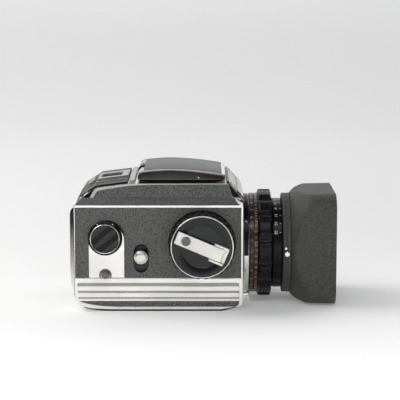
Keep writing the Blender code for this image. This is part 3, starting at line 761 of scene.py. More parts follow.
def make_wind_knob():
    """Scalloped skirt, chrome rim and dished face with a post pocket."""
    stations = [(-52.0, 21.8, 0.0), (-52.3, 22.6, 0.5), (-52.9, 23.0, 1.0), (-61.3, 23.0, 1.0),
                (-61.9, 22.7, 0.7), (-62.3, 21.9, 0.0), (-62.3, 20.4, 0.0), (-52.0, 20.4, 0.0)]
    loops = [fluted_loop(y, r, depth) for y, r, depth in stations]
    skirt = loft("knob_skirt", loops, ENAMEL, "wind", True, 40)
    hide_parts("wind_knob")
    rim = [(20.75, -62.2), (21.45, -62.2), (21.6, -62.5), (21.6, -64.1), (21.45, -64.45), (21.15, -64.6),
           (20.9, -64.5), (20.75, -64.2)]
    lathe("knob_rim", rim, "y", WIND, CHROME, "wind", True, 144, 50)
    base = [(5.0, -49.35), (23.2, -49.35), (23.2, -50.9), (23.0, -51.3), (22.6, -51.5), (5.0, -51.5)]
    plinth = lathe("knob_plinth", base, "y", WIND, ENAMEL, "body", True, 128)
    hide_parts("wind_knob_base")
    dish = [(20.7, -58.0), (20.7, -63.9), (20.3, -63.95), (15.0, -62.85), (14.5, -62.55), (0.5, -62.55)]
    face = lathe("knob_dish", dish, "y", WIND, DISH_BLACK, "wind", count=128, smooth=20)
    drill(face, "y", POST, 4.4, -66.0, -57.0)


def make_crank():
    """Cream plate with square rounded ends between two hinge ears."""
    bar = rounded(-19.2, -4.5, 14.9, 4.5, 0.9)
    plate = crank_block("crank_plate", bar, -64.85, -67.15, CREAM, "crank")
    drill(plate, "y", POST, 1.55, -68.0, -64.0)
    soften(plate, 0.22)
    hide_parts("wind_crank")
    # Dark ring round the finger post: painted shadow round the finger stud.
    shadow_ring = [(2.8, -67.1), (3.3, -67.1), (3.3, -67.22), (3.15, -67.3), (2.95, -67.3), (2.8, -67.22)]
    lathe("crank_painted_shadow_ring", shadow_ring, "y", POST, GUNMETAL, "crank", True, 48)
    base = rounded(6.9, -6.4, 18.0, 6.4, 0.7)
    floor = crank_block("hinge_floor", base, -62.95, -64.2, CREAM, "wind")
    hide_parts("crank_bracket")
    for side in (-1, 1):
        ear = [(7.0, -64.0), (17.9, -64.0), (17.9, -65.6), (17.3, -66.8), (16.2, -67.2), (8.3, -67.2),
               (7.3, -66.9), (7.0, -66.2)]
        loops = [[crank_point(u, w, y) for u, y in ear] for w in (side * 4.95, side * 6.4)]
        name = "hinge_ear_lower" if side < 0 else "hinge_ear_upper"
        soften(loft(name, loops, CREAM, "wind"), 0.15)
    stop = [(15.9, -4.7), (17.9, -4.7), (17.9, 4.7), (15.9, 4.7)]
    soften(crank_block("hinge_stop", stop, -64.0, -64.95, CREAM, "wind"), 0.15)


def make_finger_knob():
    """Dark finger stud that sinks into the knob when the crank is folded."""
    stem = [(2.6, -58.0), (2.8, -58.3), (2.8, -64.3), (2.6, -64.5), (1.2, -64.6), (1.2, -67.3),
            (2.35, -67.35), (2.6, -67.5), (2.6, -67.75), (2.4, -68.0), (2.0, -68.0), (1.8, -67.85),
            (0.3, -67.85)]
    stud = lathe("finger_stud", stem, "y", POST, GUNMETAL, "crank_finger", count=64)
    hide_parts("crank_finger_knob")


def make_film_knob():
    """Take-up knob: flanged base, bright ring and a diagonal grip."""
    base = [(3.0, -50.7), (11.8, -50.7), (12.0, -50.9), (12.0, -51.4), (11.75, -51.65), (10.5, -52.1),
            (10.35, -54.0), (9.7, -54.0), (9.7, -53.4), (0.5, -53.4)]
    knob = lathe("film_knob_base", base, "y", TAKEUP, ENAMEL, "takeup", count=96)
    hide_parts("film_knob")
    ring = [(9.7, -53.8), (10.2, -53.8), (10.35, -54.1), (10.3, -54.4), (10.05, -54.6), (9.8, -54.5),
            (9.7, -54.3)]
    lathe("film_knob_ring", ring, "y", TAKEUP, CHROME, "takeup", True, 96, 50)
    c, s = cos(radians(40)), sin(radians(40))

    def turned_back(points):
        return [(TAKEUP[0] + u * c - w * s, TAKEUP[1] + u * s + w * c) for u, w in points]

    rim = circle(0, 0, 9.6, 72)
    for side, name in ((1, "upper"), (-1, "lower")):
        cap = [(u, w) for u, w in rim if w * side >= 4.9]
        prism("film_knob_cheek_" + name, turned_back(cap), "y", -53.3, -54.2, DISH_BLACK, "takeup")
    grip = prism("film_knob_grip", turned_back(rounded(-9.2, -2.1, 9.2, 2.1, 1.6)), "y", -53.3, -54.45,
                 DISH_BLACK, "takeup")
    soften(grip, 0.3)
    for degrees in (62, 118):
        a = radians(degrees)
        spot = (TAKEUP[0] + 11.2 * cos(a), TAKEUP[1] + 11.2 * sin(a))
        lathe(f"film_knob_pin_{degrees}", [(0.42, -51.2), (0.42, -52.0), (0.2, -52.15)], "y", spot,
              CHROME, "takeup", count=20)


def make_film_plate():
    """Bright tongue round the film knob, dished round the small button."""
    left, right, foot = -47.0, -22.5, 23.7
    outline = [(left, foot), (right, foot)]
    outline += arc((left + right) / 2, TAKEUP_Z - 2.0, (right - left) / 2, 0, 180, 48)
    plate = prism("film_plate", outline, "y", -50.4, -49.3, BAND_CHROME, "body")
    drill(plate, "y", TAKEUP, 3.0, -52.0, -48.0)
    dimple = [(0.5, -49.75), (2.9, -49.75), (3.5, -49.85), (4.0, -50.1), (4.3, -50.41), (4.3, -51.0),
              (0.5, -51.0)]
    carve(plate, [lathe("tool", dimple, "y", SUPPLY, BAND_CHROME, None)])
    drill(plate, "y", SUPPLY, 2.85, -52.0, -48.0)
    soften(plate, 0.18)
    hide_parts("film_knob_plate")
    button = [(2.0, -33.6), (2.0, -50.5), (2.5, -50.6), (2.6, -50.8), (2.6, -52.0), (2.4, -52.35),
              (1.9, -52.5), (0.3, -52.4)]
    knob = lathe("spool_plunger", button, "y", SUPPLY, GUNMETAL, "spool_release", count=48)
    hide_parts("spool_button")


def stadium(cx, z0, z1, radius, steps=14):
    """Upright slot outline with round ends."""
    return (arc(cx, z1 - radius, radius, 0, 180, steps) + arc(cx, z0 + radius, radius, 180, 360, steps))


def make_strap_lugs():
    """Mushroom stud standing in a glossy oval dish on each side."""
    head = [(3.6, 49.3), (3.6, 50.0), (3.3, 50.3), (2.0, 50.6), (2.0, 52.1), (4.4, 52.4), (4.75, 52.7),
            (4.8, 53.0), (4.75, 53.35), (4.5, 53.6), (4.1, 53.62), (3.95, 53.8), (3.5, 54.3),
            (2.8, 54.55), (1.2, 54.6)]
    for side, name in SIDES:
        profile = [(r, side * y) for r, y in head]
        stud = lathe("stud_" + name, profile, "y", STUD, NICKEL, "body", count=64, smooth=45)
        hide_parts("strap_stud_" + name)
        loops = []
        for radius, y in ((5.2, 49.1), (5.2, 49.95), (4.9, 49.95), (4.4, 49.75), (3.7, 49.5),
                          (2.8, 49.38), (1.2, 49.34)):
            shift = (5.2 - radius) * 0.9
            slot = stadium(STUD[0], 27.05 + shift, 47.35 - shift, radius)
            loops.append([(x, side * y, z) for x, z in slot])
        loft("strap_dish_" + name, loops, DISH_BLACK, "body", smooth=60)


# ----------------------------------------------------------- finder top
def smooth_line(points, steps=6):
    """Catmull-Rom curve through (x, z) points."""
    line = []
    padded = [points[0]] + points + [points[-1]]
    for i in range(1, len(padded) - 2):
        a, b, c, d = padded[i - 1:i + 3]
        for k in range(steps):
            t = k / steps
            line.append(tuple(0.5 * (2 * b[j] + (c[j] - a[j]) * t
                                     + (2 * a[j] - 5 * b[j] + 4 * c[j] - d[j]) * t * t
                                     + (3 * b[j] - a[j] - 3 * c[j] + d[j]) * t ** 3) for j in (0, 1)))
    return line + [points[-1]]


def lid_crown(drop):
    """Long profile of the lid's top, lowered by drop."""
    rear = arc(-9.6 + drop, 92.4, 4.0, 180, 112, 8)
    crown = smooth_line([rear[-1], (-4.0, 97.0 - drop), (8.0, 97.75 - drop), (24.0, 97.0 - drop),
                         (40.0, 95.0 - drop), (47.75 - drop, 93.4 - drop)])
    return rear + crown[1:]


def lid_loop(y, share, foot=90.05):
    """Section at y; share is how much of the lid's full height it reaches."""
    inset = (1 - share) * 1.8
    line = lid_crown(inset * 0.6)
    return ([(line[0][0], y, foot)]
            + [(x, y, foot + max(0.0, z - foot + inset * 0.6) * share) for x, z in line]
            + [(line[-1][0], y, foot)])


def make_lid():
    """Glossy skirt with rolled edges, satin top panel and bright front strip."""
    ends = ((34.95, 0.02), (34.55, 0.35), (34.15, 0.66), (33.8, 0.86), (33.3, 0.95), (32.7, 0.98),
            (31.8, 0.985))
    loops = [lid_loop(-y, share) for y, share in ends]
    loops += [lid_loop(y, share) for y, share in reversed(ends)]
    shell = loft("lid_skirt", loops, SKIRT, "lid", smooth=45)
    hollow = loft("tool", [lid_loop(-32.6, 0.8, 88.0), lid_loop(32.6, 0.8, 88.0)], SKIRT, None)
    carve(shell, [hollow])
    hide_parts("finder_lid")
    line = [(x, z) for x, z in lid_crown(0.0) if x > -9.8]
    top = []
    for y, sink in ((-32.3, 0.7), (-32.3, 0.1), (-32.0, 0.0), (32.0, 0.0), (32.3, 0.1), (32.3, 0.7)):
        upper = [(x, y, z + 0.04 - sink) for x, z in line]
        lower = [(x, y, z - 0.9) for x, z in reversed(line)]
        top.append(upper + lower)
    loft("lid_panel", top, LID_GREY, "lid", smooth=25)
    strip = [(45.3, 94.15), (47.0, 93.85), (47.6, 93.6), (47.8, 93.2), (47.8, 90.1), (47.3, 90.1),
             (47.3, 93.0), (45.3, 93.5)]
    bar = prism("lid_front_strip", strip, "y", -33.4, 33.4, CREAM, "lid")
    soften(bar, 0.12)
    for side, name in SIDES:
        profile = [(0.55, side * 34.2), (0.55, side * 35.0), (0.35, side * 35.15)]
        lathe("lid_rivet_" + name, profile, "y", (29.0, 91.7), CHROME, "lid", count=20)
        bracket = [(15.2, 91.5), (18.8, 91.5), (18.8, 95.8), (15.2, 95.8)]
        soften(prism("magnifier_bracket_" + name, bracket, "y", side * 6.6, side * 7.8, MATT_BLACK,
                     "lid"), 0.2)
    # Painted highlight along each skirt's top edge.
    for side, name in SIDES:
        make_lid_highlight_bead(side, name)
    catch = [(-14.3, 92.4), (-13.9, 94.4), (-12.9, 95.9), (-11.2, 96.9), (-9.4, 97.2), (-9.4, 96.3),
             (-11.4, 95.6), (-12.9, 94.0), (-13.4, 92.2)]
    soften(prism("lid_catch", catch, "y", -7.0, 7.0, ENAMEL, "lid"), 0.2)


def beside(line, i):
    """The points before and after one of a line; an end is its own neighbour."""
    return line[max(0, i - 1)], line[min(len(line) - 1, i + 1)]


def make_lid_highlight_bead(side, name):
    """Light pinkish wire where the skirt rolls over, thinning towards the front: a painted highlight
    along the skirt's top edge.
    """
    base = lid_loop(side * 33.55, 0.93)
    line = base[2:-2]
    loops = []
    for i, (x, y, z) in enumerate(line):
        a, b = beside(line, i)
        run = hypot(b[0] - a[0], b[2] - a[2])
        nx, nz = -(b[2] - a[2]) / run, (b[0] - a[0]) / run
        radius = 0.6 - 0.32 * i / (len(line) - 1)
        loops.append([(x + nx * v, y + u, z + nz * v) for u, v in circle(0, 0, radius, 10)])
    loft("lid_highlight_bead_" + name, loops, HIGHLIGHT_BEAD, "lid", smooth=60)


def deck_height(x):
    """Height of the rear deck plate's upper face."""
    return 89.6 + (x + 19.5) * (2.9 / 22.7)


def deck_slab(name, x0, x1, y0, y1, low, high, mat):
    """Slab following the rear deck, between two heights above its face."""
    outline = [(x0, deck_height(x0) + low), (x1, deck_height(x1) + low), (x1, deck_height(x1) + high),
               (x0, deck_height(x0) + high)]
    return prism(name, outline, "y", y0, y1, mat, "body")


def make_rear_deck():
    """Grey deck with a raised window frame, flat black strips beside it and an end bar."""
    deck = [(-20.4, 89.45), (-42.2, 86.7), (-53.4, 79.3), (-53.4, 78.3), (-42.0, 85.9), (-20.4, 88.75)]
    plate = soften(prism("deck_plate", deck, "y", -38.0, 38.0, DECK_GREY, "body"), 0.25)
    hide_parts("rear_deck_plate")
    frame = deck_slab("deck_frame", -42.6, -20.9, -14.0, 14.0, -0.5, 1.55, CREAM_GREY)
    mill(frame, (-40.2, -25.6), (-8.6, 8.6), (80.0, 95.0))
    soften(frame, 0.35)
    deck_slab("deck_window", -40.4, -25.4, -8.8, 8.8, -0.2, 0.12, MATT_BLACK)
    for side, name in SIDES:
        # Flat black strip beside the frame, at deck level.
        deck_slab("deck_black_strip_" + name, -43.4, -21.2, side * 14.0, side * 22.5, -0.2, 0.1, ENAMEL)
        soften(deck_slab("deck_rail_" + name, -43.2, -21.0, side * 22.5, side * 24.0, -0.2, 0.7,
                         CREAM_GREY), 0.2)
    bar = [(-19.3, 88.0), (-15.4, 88.3), (-15.4, 89.9), (-15.9, 90.3), (-18.8, 90.2), (-19.3, 89.8)]
    soften(prism("deck_end_bar", bar, "y", -36.5, 36.5, CREAM_GREY, "body"), 0.2)
    latch = [(-44.8, 85.5), (-49.4, 82.4), (-50.0, 83.4), (-49.6, 84.0), (-46.2, 86.3), (-45.4, 86.5)]
    slider = prism("latch_slider", latch, "y", -7.0, 7.0, CHROME, "latch")
    groove = [(-50.4, 83.3), (-45.2, 86.2), (-45.6, 87.6), (-50.9, 84.3)]
    carve(slider, [prism("tool", groove, "y", y - 0.3, y + 0.3, CHROME, None)
                   for y in (-5.2, -3.6, -2.0, -0.4, 1.2, 2.8, 4.4)])
    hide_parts("door_latch")


def lean(z, depth):
    """Distance of the leaning finder wall from the middle, plus depth."""
    return 44.0 - (z - 79.0) * (2.5 / 9.4) + depth


def wall_piece(name, outline, low, high, side, mat):
    """Outline in (x, z) laid on the leaning wall between two depths."""
    loops = [[(x, side * lean(z, depth), z) for x, z in outline] for depth in (low, high)]
    return loft(name, loops, mat, "body")


def ribbon(line, widths):
    """Closed outline of the given widths hanging below an (x, z) line."""
    lower = []
    for i, ((x, z), width) in enumerate(zip(line, widths)):
        a, b = beside(line, i)
        run = hypot(b[0] - a[0], b[1] - a[1])
        lower.append((x + width * (b[1] - a[1]) / run, z - width * (b[0] - a[0]) / run))
    return line + lower[::-1]


def tube(path, radii, name, mat, body):
    """Round rod through the path, each point with its own radius."""
    loops = []
    for i, point in enumerate(path):
        a, b = beside(path, i)
        along = (Vector(b) - Vector(a)).normalized()
        side = along.cross(Vector((0.3, 1.0, 0.2))).normalized()
        up = along.cross(side)
        loops.append([tuple(Vector(point) + side * u + up * v) for u, v in circle(0, 0, radii[i], 12)])
    return loft(name, loops, mat, body, smooth=60)


def make_finder_sides():
    """Painted highlight ribbon along each finder wall, rear slot and front cheek."""
    line = [(-46.2, 79.2), (-45.2, 81.2), (-44.0, 83.2), (-43.0, 84.3), (-41.3, 85.3), (-36.0, 86.2),
            (-28.0, 87.2), (-19.0, 88.15), (-10.0, 88.35), (4.0, 88.4), (30.0, 88.4), (49.3, 88.4)]
    # The ribbon thins towards the front, as the painted highlight along the wall's edge fades.
    widths = (2.0, 2.1, 2.1, 2.0, 1.7, 1.5, 1.3, 1.0, 0.75, 0.55, 0.4, 0.35)
    for side, name in SIDES:
        rim = ribbon(line, widths)
        wall_piece("finder_highlight_rim_" + name, rim, 0.2, 1.25, side, RIM_HIGHLIGHT)
        slot = [(-51.4, 79.2), (-46.4, 79.2), (-45.4, 81.2), (-44.2, 83.2), (-43.2, 84.4), (-44.0, 84.3)]
        wall_piece("rear_slot_" + name, slot, 0.05, 0.7, side, ENAMEL)
        catch = [(-51.3, 79.6), (-46.9, 79.6), (-46.4, 81.0), (-46.9, 82.1), (-48.2, 82.3)]
        soften(flank("rear_catch_" + name, catch, side, 33.0, 42.6, NICKEL), 0.25)
        inner = [(49.6, 89.1), (58.0, 80.6), (60.6, 76.7), (59.5, 75.9), (56.4, 79.4), (49.2, 87.6)]
        outer = [(49.9, 88.5), (57.3, 80.3), (60.1, 76.5), (59.2, 76.0), (53.2, 79.3), (52.5, 80.2)]
        loops = [[(x, side * 40.3, z) for x, z in inner],
                 [(x, side * lean(z, 0.45), z) for x, z in outer]]
        soften(loft("front_cheek_" + name, loops, BROW, "body"), 0.2)
        path = [(-57.1, 49.9, 72.9), (-56.9, 49.8, 73.9), (-56.4, 49.2, 75.0), (-55.4, 47.9, 76.4),
                (-54.2, 46.5, 77.7), (-52.4, 45.2, 78.9)]
        corner = [(x, side * y, z) for x, y, z in path]
        tube(corner, (0.35, 0.6, 0.7, 0.7, 0.6, 0.3), "shoulder_corner_" + name, BAND_CHROME, "body")


def make_name_plate():
    """Silver front slope with two screws, and a black bar behind it that paints the shade in the gap
    before the lid.
    """
    front = [(50.1, 89.9), (55.9, 83.75), (55.3, 82.6), (50.1, 88.8)]
    plate = soften(prism("front_plate", front, "y", -40.0, 40.0, SATIN, "body"), 0.3)
    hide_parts("name_plate")
    brow = [(56.2, 83.45), (58.3, 81.2), (60.0, 78.6), (60.95, 76.7), (60.95, 75.5), (60.2, 75.5),
            (60.0, 76.3), (57.4, 80.3), (55.6, 82.3)]
    soften(prism("front_brow", brow, "y", -40.6, 40.6, BROW, "body"), 0.3)
    # Black bar in the gap between lid and name plate: painted shade.
    bar = [(48.3, 88.4), (49.9, 88.6), (49.9, 89.9), (48.7, 90.0)]
    prism("front_gap_painted_shade", bar, "y", -40.6, 40.6, ENAMEL, "body")
    slope = Vector((58.2 - 50.1, 0.0, 81.3 - 89.9)).normalized()
    normal = Vector((-slope.z, 0.0, slope.x))
    across = Vector((0.0, 1.0, 0.0))
    for x, z, y in ((51.7, 88.2, -36.0), (51.7, 88.2, 36.0), (54.3, 85.44, -30.0), (54.3, 85.44, 30.0)):
        centre = Vector((x, y, z))
        loops = []
        for radius, rise in ((1.1, -0.2), (1.1, 0.12), (0.85, 0.3)):
            loops.append([tuple(centre + normal * rise + slope * radius * cos(radians(15 * i))
                                + across * radius * sin(radians(15 * i))) for i in range(24)])
        loft(f"plate_screw_{x:.0f}_{'n' if y < 0 else 'p'}", loops, GUNMETAL, "body")


# ------------------------------------------------------- band and door
def make_lower_band():
    """Framed side band: groove, three bright ribs and a leather strip."""
    outer = [(-56.8, 9.0), (-56.2, 7.3), (-54.5, 5.1), (-51.3, 3.3), (-47.7, 2.4), (-44.2, 1.9),
             (-38.0, 1.5), (-32.0, 1.3), (45.2, 1.3), (56.3, 3.2), (58.9, 4.3), (59.55, 5.8),
             (59.55, 23.15), (-56.85, 23.15)]
    inner = [(-54.3, 8.9), (-53.9, 7.8), (-52.7, 6.6), (-48.5, 5.3), (-43.8, 4.4), (-36.9, 3.5),
             (-26.0, 3.1), (40.0, 3.1), (54.0, 3.2), (56.0, 3.8), (57.0, 5.0), (57.2, 6.4), (57.2, 19.2),
             (56.4, 20.0), (-54.6, 20.0), (-55.2, 19.3), (-55.0, 17.7)]
    ribs = (("upper", 14.35, 17.7), ("middle", 9.85, 12.95), ("lower", 7.15, 8.85))
    for side, name in SIDES:
        frame = flank("band_frame_" + name, outer, side, 49.9, 50.6, BAND_CHROME)
        tool = prism("tool", inner, "y", side * 49.0, side * 52.0, BAND_CHROME, None)
        soften(carve(frame, [tool]), 0.3)
        # The groove strip, seen in the groove and between the ribs, is dark chrome: painted shade.
        flank("band_groove_" + name, inner, side, 49.7, 50.06, GROOVE_SHADE)
        for level, low, high in ribs:
            outline = rounded(-54.9, low, 57.1, high, 0.5, 3)
            soften(flank(f"band_rib_{level}_{name}", outline, side, 49.9, 50.5, BAND_CHROME), 0.4)
        strip = [(-53.9, 8.1), (-52.5, 6.8), (-48.4, 5.5), (-43.8, 4.6), (-36.9, 3.7), (-26.0, 3.3),
                 (54.0, 3.4), (55.9, 4.0), (56.8, 5.1), (57.0, 6.4), (57.0, 6.95), (-33.0, 6.95),
                 (-42.0, 7.3), (-50.0, 8.2)]
        flank("band_leather_" + name, strip, side, 49.7, 50.22, LEATHER)


def door_profile(inset):
    """Upright outline of the door's outer face: (x, z) from foot to head."""
    line = [(-57.85, 10.0), (-58.4, 12.2), (-59.3, 17.0), (-59.85, 22.0), (-60.15, 30.0), (-60.2, 48.0),
            (-60.2, 66.5), (-59.95, 69.0), (-59.3, 71.1), (-57.9, 72.5)]
    return [(x + inset, z) for x, z in smooth_line(line, 4)]


def make_door():
    """Rear door rounded at its edges, with an inset leather panel."""
    def row(y, inset):
        line = door_profile(inset)
        return ([(min(x, -57.3), y, z) for x, z in line] + [(-57.3, y, z) for _, z in reversed(line)])

    steps = ((49.8, 2.2), (49.75, 1.5), (49.5, 0.95), (49.1, 0.55), (48.5, 0.25), (47.6, 0.05),
             (46.8, 0.0))
    loops = [row(-y, inset) for y, inset in steps]
    loops += [row(y, inset) for y, inset in reversed(steps)]
    door = loft("door_shell", loops, DOOR_PLATE, "door", smooth=45)
    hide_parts("rear_door")
    line = [(x, z) for x, z in door_profile(0.0) if 15.0 < z < 68.6]
    loops = []
    for y, lift in ((-44.0, 0.0), (-43.8, 0.1), (43.8, 0.1), (44.0, 0.0)):
        loops.append([(max(x - lift, -60.29), y, z) for x, z in line]
                     + [(x + 0.6, y, z) for x, z in reversed(line)])
    loft("door_leather", loops, LEATHER, "door", smooth=40)
    for z in (14.0, 69.6):
        near = min(door_profile(0.0), key=lambda point: abs(point[1] - z))
        strip = prism(f"door_line_{z:.0f}", rounded(-47.0, z - 0.2, 47.0, z + 0.2, 0.15), "x",
                     near[0] - 0.06, near[0] + 0.5, GUNMETAL, "door")


def make_front_panel():
    """Leather on the front face round the lens mount."""
    outline = rounded(-48.6, 19.5, 48.6, 72.4, 2.0)
    skin = prism("front_leather", outline, "x", 59.6, 60.0, LEATHER, "body")
    drill(skin, "x", LENS, 36.0, 55.0, 65.0, 96)
    plate = prism("front_foot", rounded(-48.6, 5.9, 48.6, 18.9, 1.5), "x", 59.6, 59.95, BAND_CHROME,
                  "body")
    drill(plate, "x", LENS, 36.0, 55.0, 65.0, 96)
    drill(plate, "x", RELEASE, 3.4, 55.0, 65.0, 32)
    collar = [(4.2, 59.6), (5.2, 59.6), (5.2, 60.0), (5.0, 60.3), (4.4, 60.3), (4.2, 60.1)]
    lathe("release_collar", collar, "x", RELEASE, NICKEL, "body", True, 48)
    button = [(2.0, 52.0), (2.0, 59.4), (2.9, 59.6), (2.9, 62.4), (3.8, 62.6), (4.0, 62.8), (4.0, 63.8),
              (3.8, 64.15), (3.0, 64.4), (2.2, 64.3), (0.4, 64.2)]
    knob = lathe("release_button", button, "x", RELEASE, BAND_CHROME, "release", count=48)
    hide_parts("shutter_release")
    screws = ((-44.0, 24.0), (44.0, 24.0), (-44.0, 68.0), (44.0, 68.0))
    for i, (y, z) in enumerate(screws):
        head = lathe(f"front_screw_{i}", [(1.6, 59.9), (1.6, 60.2), (1.2, 60.4)], "x", (y, z), GUNMETAL,
                     "body", count=32)
        mill(head, (60.15, 61.0), (y - 2.0, y + 2.0), (z - 0.2, z + 0.2))


# ------------------------------------------------- left side and underside
def dial_text(entries, size, radius, centre, y, height=0.1):
    """Digits standing round a dial that faces left."""
    parts = []
    floor = y + height / 2 - SINK
    for text, degrees in entries:
        points, outline = digit_mesh(text, size, height)
        c, s = cos(radians(degrees)), sin(radians(degrees))
        verts = [(centre[0] - along * c - (up + radius) * s, floor + lift, centre[1]
                  + (up + radius) * c - along * s) for along, up, lift in points]
        parts.append((verts, outline))
    return joined(parts)


def make_speed_dial():
    """Knurled shutter speed dial with a ring of numbers."""
    def knurl(y, radius, depth, teeth=60):
        return wind_loop(y, [radius - depth * step for step in (0, 1, 1, 0)] * teeth)

    rows = [(51.1, 13.0, 0.0), (51.1, 14.5, 0.0), (51.4, 14.9, 0.3), (51.8, 15.0, 0.45),
            (55.4, 15.0, 0.45), (55.8, 14.9, 0.3), (56.0, 14.4, 0.0), (56.0, 13.0, 0.0)]
    skirt = loft("dial_skirt", [knurl(*row) for row in rows], ENAMEL, "dial", True, 40)
    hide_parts("speed_dial")
    face = [(3.0, 40.0), (3.0, 51.0), (13.2, 51.2), (13.9, 56.3), (13.6, 56.9), (13.2, 57.1), (7.6, 57.1),
            (7.2, 56.8), (6.6, 56.8), (6.3, 57.4), (5.8, 58.1), (5.2, 58.4), (3.4, 58.4), (3.0, 58.1),
            (0.5, 58.1)]
    lathe("dial_face", face, "y", WIND, DISH_BLACK, "dial", smooth=35)
    ring = [(13.3, 56.9), (13.95, 56.4), (14.5, 56.2), (14.5, 56.5), (14.1, 57.0), (13.5, 57.2)]
    lathe("dial_rim", ring, "y", WIND, CHROME, "dial", True)
    speeds = ["B", "1", "2", "4", "8", "15", "30", "60", "125", "250", "500"]
    numbers = [(text, 30 * i - 150) for i, text in enumerate(speeds)]
    ring_piece("dial_numbers", WHITE_FILL, "dial", dial_text(numbers, 2.6, 9.4, WIND, 57.1))
    base = [(15.2, 49.4), (17.6, 49.4), (17.6, 50.4), (17.2, 50.9), (15.6, 50.9), (15.2, 50.6)]
    lathe("dial_base_ring", base, "y", WIND, CHROME, "body", True)
    mark = box("dial_index", (WIND[0] - 0.35, WIND[0] + 0.35), (50.8, 51.0),
               (WIND[1] + 16.0, WIND[1] + 17.2), ORANGE_FILL, "body")
    soften(mark, 0.03)


def make_sync_socket():
    """Coaxial flash socket with an insulated centre."""
    centre = (48.0, 31.0)
    shell = [(2.2, 49.3), (4.0, 49.3), (4.0, 52.2), (3.7, 52.8), (3.3, 53.0), (2.5, 53.0), (2.2, 52.7)]
    body = lathe("sync_shell", shell, "y", centre, CHROME, "body", True, 48)
    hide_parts("sync_socket")
    lathe("sync_insulator", [(2.2, 49.3), (2.2, 51.2), (0.9, 51.2)], "y", centre, MATT_BLACK, "body",
          count=40)
    lathe("sync_pin", [(0.55, 51.0), (0.55, 52.4), (0.3, 52.6)], "y", centre, BRASS, "body", count=24)
    flange = [(4.1, 49.6), (5.4, 49.6), (5.4, 50.2), (5.0, 50.5), (4.1, 50.5)]
    lathe("sync_flange", flange, "y", centre, CHROME, "body", True, 48)


def make_base():
    """Sled with rounded edges, countersunk screws and the tripod bush."""
    sled = [(-50.8, 2.5), (-47.7, 1.5), (-44.2, 0.9), (-38.0, 0.3), (-32.0, 0.0), (45.3, 0.0),
            (55.6, 2.5)]
    base = prism("base_sled", sled, "y", -49.9, 49.9, SLED_WITH_PAINTED_SHADOW, "body")
    tools = [lathe("tool", [(6.4, -1.0), (6.4, 4.0)], "z", TRIPOD, BAND_CHROME, None, count=48)]
    spots = ((-26.0, -40.0), (-26.0, 40.0), (40.0, -40.0), (40.0, 40.0))
    for x, y in spots:
        tools.append(lathe("tool", [(2.9, -0.5), (2.9, 0.0), (1.7, 1.2)], "z", (x, y), BAND_CHROME, None,
                           count=40))
    carve(base, tools)
    soften(base, 0.3)
    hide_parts("base_plate")
    for i, (x, y) in enumerate(spots):
        head = lathe(f"base_screw_{i}", [(1.9, 1.1), (2.4, 0.55), (2.3, 0.4), (0.3, 0.25)], "z", (x, y),
                     STEEL, "body", count=40)
        mill(head, (x - 3, x + 3), (y - 0.3, y + 0.3), (0.0, 0.6))
    pad = [rounded(-24.0, -30.0, 4.0, 30.0, 3.0), rounded(30.0, -30.0, 38.0, 30.0, 3.0)]
    for i, outline in enumerate(pad):
        prism(f"base_pad_{i}", outline, "z", 0.02, 0.4, LEATHER, "body")
    bush = [(3.2, 0.3), (3.5, 0.05), (5.8, 0.05), (6.1, 0.3), (6.1, 8.4), (3.2, 8.4)]
    socket = lathe("tripod_bush", bush, "z", TRIPOD, STEEL, "body", True, 64)
    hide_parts("tripod_socket")
    for i in range(6):
        z = 1.0 + 1.2 * i
        thread = [(3.21, z), (2.95, z + 0.3), (3.21, z + 0.6), (3.4, z + 0.3)]
        lathe(f"tripod_thread_{i}", thread, "z", TRIPOD, STEEL, "body", True, 48)


def make_spools():
    """Flanges, cores and ribs of the two film spools."""
    for node, body, z in (("takeup_spool", "takeup", TAKEUP_Z), ("supply_spool", "supply", SUPPLY_Z)):
        profile = [(11.9, -33.2), (12.4, -33.0), (12.4, -32.6), (12.0, -32.4), (5.0, -32.3), (4.7, -32.0),
                   (4.7, 32.0), (5.0, 32.3), (12.0, 32.4), (12.4, 32.6), (12.4, 33.0), (11.9, 33.2)]
        spool = lathe(node + "_form", profile, "y", (SPOOL_X, z), MATT_BLACK, body, count=72)
        mill(spool, (SPOOL_X - 8, SPOOL_X + 8), (-24.0, 24.0), (z - 0.5, z + 0.5))
        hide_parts(node)
    film = [(7.6, -30.8), (7.6, 30.8)]
    lathe("film_roll", film, "y", SUPPLY, PAPER, "supply", count=72)


# ------------------------------------------------------ stage and camera
def make_stage():
    """Seamless pale sweep: floor that curves up into a far wall."""
    white = Look("sweep_paper", (0.90, 0.90, 0.895), 0.9)
    height = white.span(white.axis("Z"), 0.0, 1.0, 0.0, 0.35)
    white.set("Base Color", white.mix(height, (0.92, 0.92, 0.915), (0.70, 0.70, 0.697)))
    white.set("Emission Color", (1.0, 1.0, 0.995, 1.0))
    glow = white.span(white.axis("Z"), 0.0, 0.32, 0.12, 0.55)
    white.set("Emission Strength", white.math("ADD", white.span(height, 0.17, 0.33), glow))
    back, radius, high, wide = 1900.0, 900.0, 3200.0, 5000.0
    line = [(-3000.0, 0.0)] + arc(back - radius, radius, radius, -90, 0, 24)
    line += [(back, high)]
    verts = [(x, y, z) for x in (-wide, wide) for y, z in line]
    count = len(line)
    faces = [(i, i + 1, count + i + 1, count + i) for i in range(count - 1)]
    sweep = piece("floor_sweep", verts, faces, white.mat, None)


def area_light(name, place_mm, aim_mm, size, power, colour=(1, 1, 1)):
    """Rectangular lamp at one point, aimed at another (mm)."""
    light = bpy.data.lights.new(name, "AREA")
    light.shape = "RECTANGLE"
    light.size, light.size_y = size
    light.energy = power
    light.color = colour
    lamp = bpy.data.objects.new(name, light)
    lamp.location = Vector(place_mm) * MM
    aim = (Vector(aim_mm) - Vector(place_mm)).normalized()
    lamp.rotation_euler = aim.to_track_quat("-Z", "Y").to_euler()
    bpy.context.scene.collection.objects.link(lamp)
    return lamp


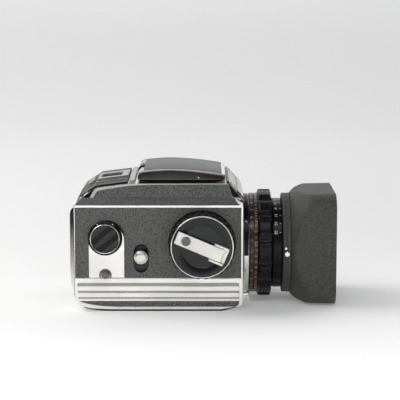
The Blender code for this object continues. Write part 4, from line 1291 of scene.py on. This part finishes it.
def make_lights():
    """Broad light from the left and above, weak fill, dark zenith."""
    world = bpy.data.worlds.new("studio")
    bpy.context.scene.world = world
    world.use_nodes = True
    sky = Graph(world.node_tree, "Generated")
    back = sky.tree.nodes["Background"]
    sky.feed(back.inputs["Color"], sky.ramp(sky.axis("Z"), (0.04, (0.95, 0.95, 0.96)),
                                            (0.34, (0.05, 0.055, 0.07))))
    shade = sky.span(sky.axis("X"), 0.12, 1.0, -0.97, -0.55)
    sky.feed(back.inputs["Strength"], sky.math("MULTIPLY", shade, 0.85))
    area_light("key", (-900, 100, 1150), (0, 0, 40), (0.9, 0.9), 10.5, (1.0, 0.99, 0.97))
    area_light("wall_wash", (-300, 700, 1900), (0, 1900, 1100), (2.6, 1.0), 6.0)
    front = area_light("floor_wash", (0, -1000, 750), (0, -900, 0), (1.8, 0.9), 8.5)
    front.data.spread = radians(100)
    area_light("edge_strip", (-250, -650, 1200), (0, 0, 60), (1.3, 0.10), 0.35)


def make_camera():
    """Long lens slightly above the camera, as the photo was taken."""
    data = bpy.data.cameras.new("camera")
    data.lens = 143.6
    data.sensor_width = 36.0
    data.clip_start, data.clip_end = 0.05, 30.0
    camera = bpy.data.objects.new("camera", data)
    aim = Vector((30.0, 0.0, 70.7)) * MM
    tilt, distance = radians(8.5), 1.150
    back = Vector((0.0, -cos(tilt), sin(tilt)))
    camera.location = aim + back * distance
    camera.rotation_euler = (-back).to_track_quat("-Z", "Y").to_euler()
    bpy.context.scene.collection.objects.link(camera)
    bpy.context.scene.camera = camera


for make in (make_focus_ring, make_depth_scale, make_mount_ring, make_aperture_ring, make_barrel_front,
             make_hood, make_wind_knob, make_crank, make_finger_knob, make_film_knob, make_film_plate,
             make_strap_lugs, make_lid, make_rear_deck, make_finder_sides, make_name_plate,
             make_lower_band, make_door, make_front_panel, make_speed_dial, make_sync_socket, make_base,
             make_spools):
    make()
paint_frame()
make_stage()
make_lights()
make_camera()
bpy.context.scene.view_settings.view_transform = "Standard"
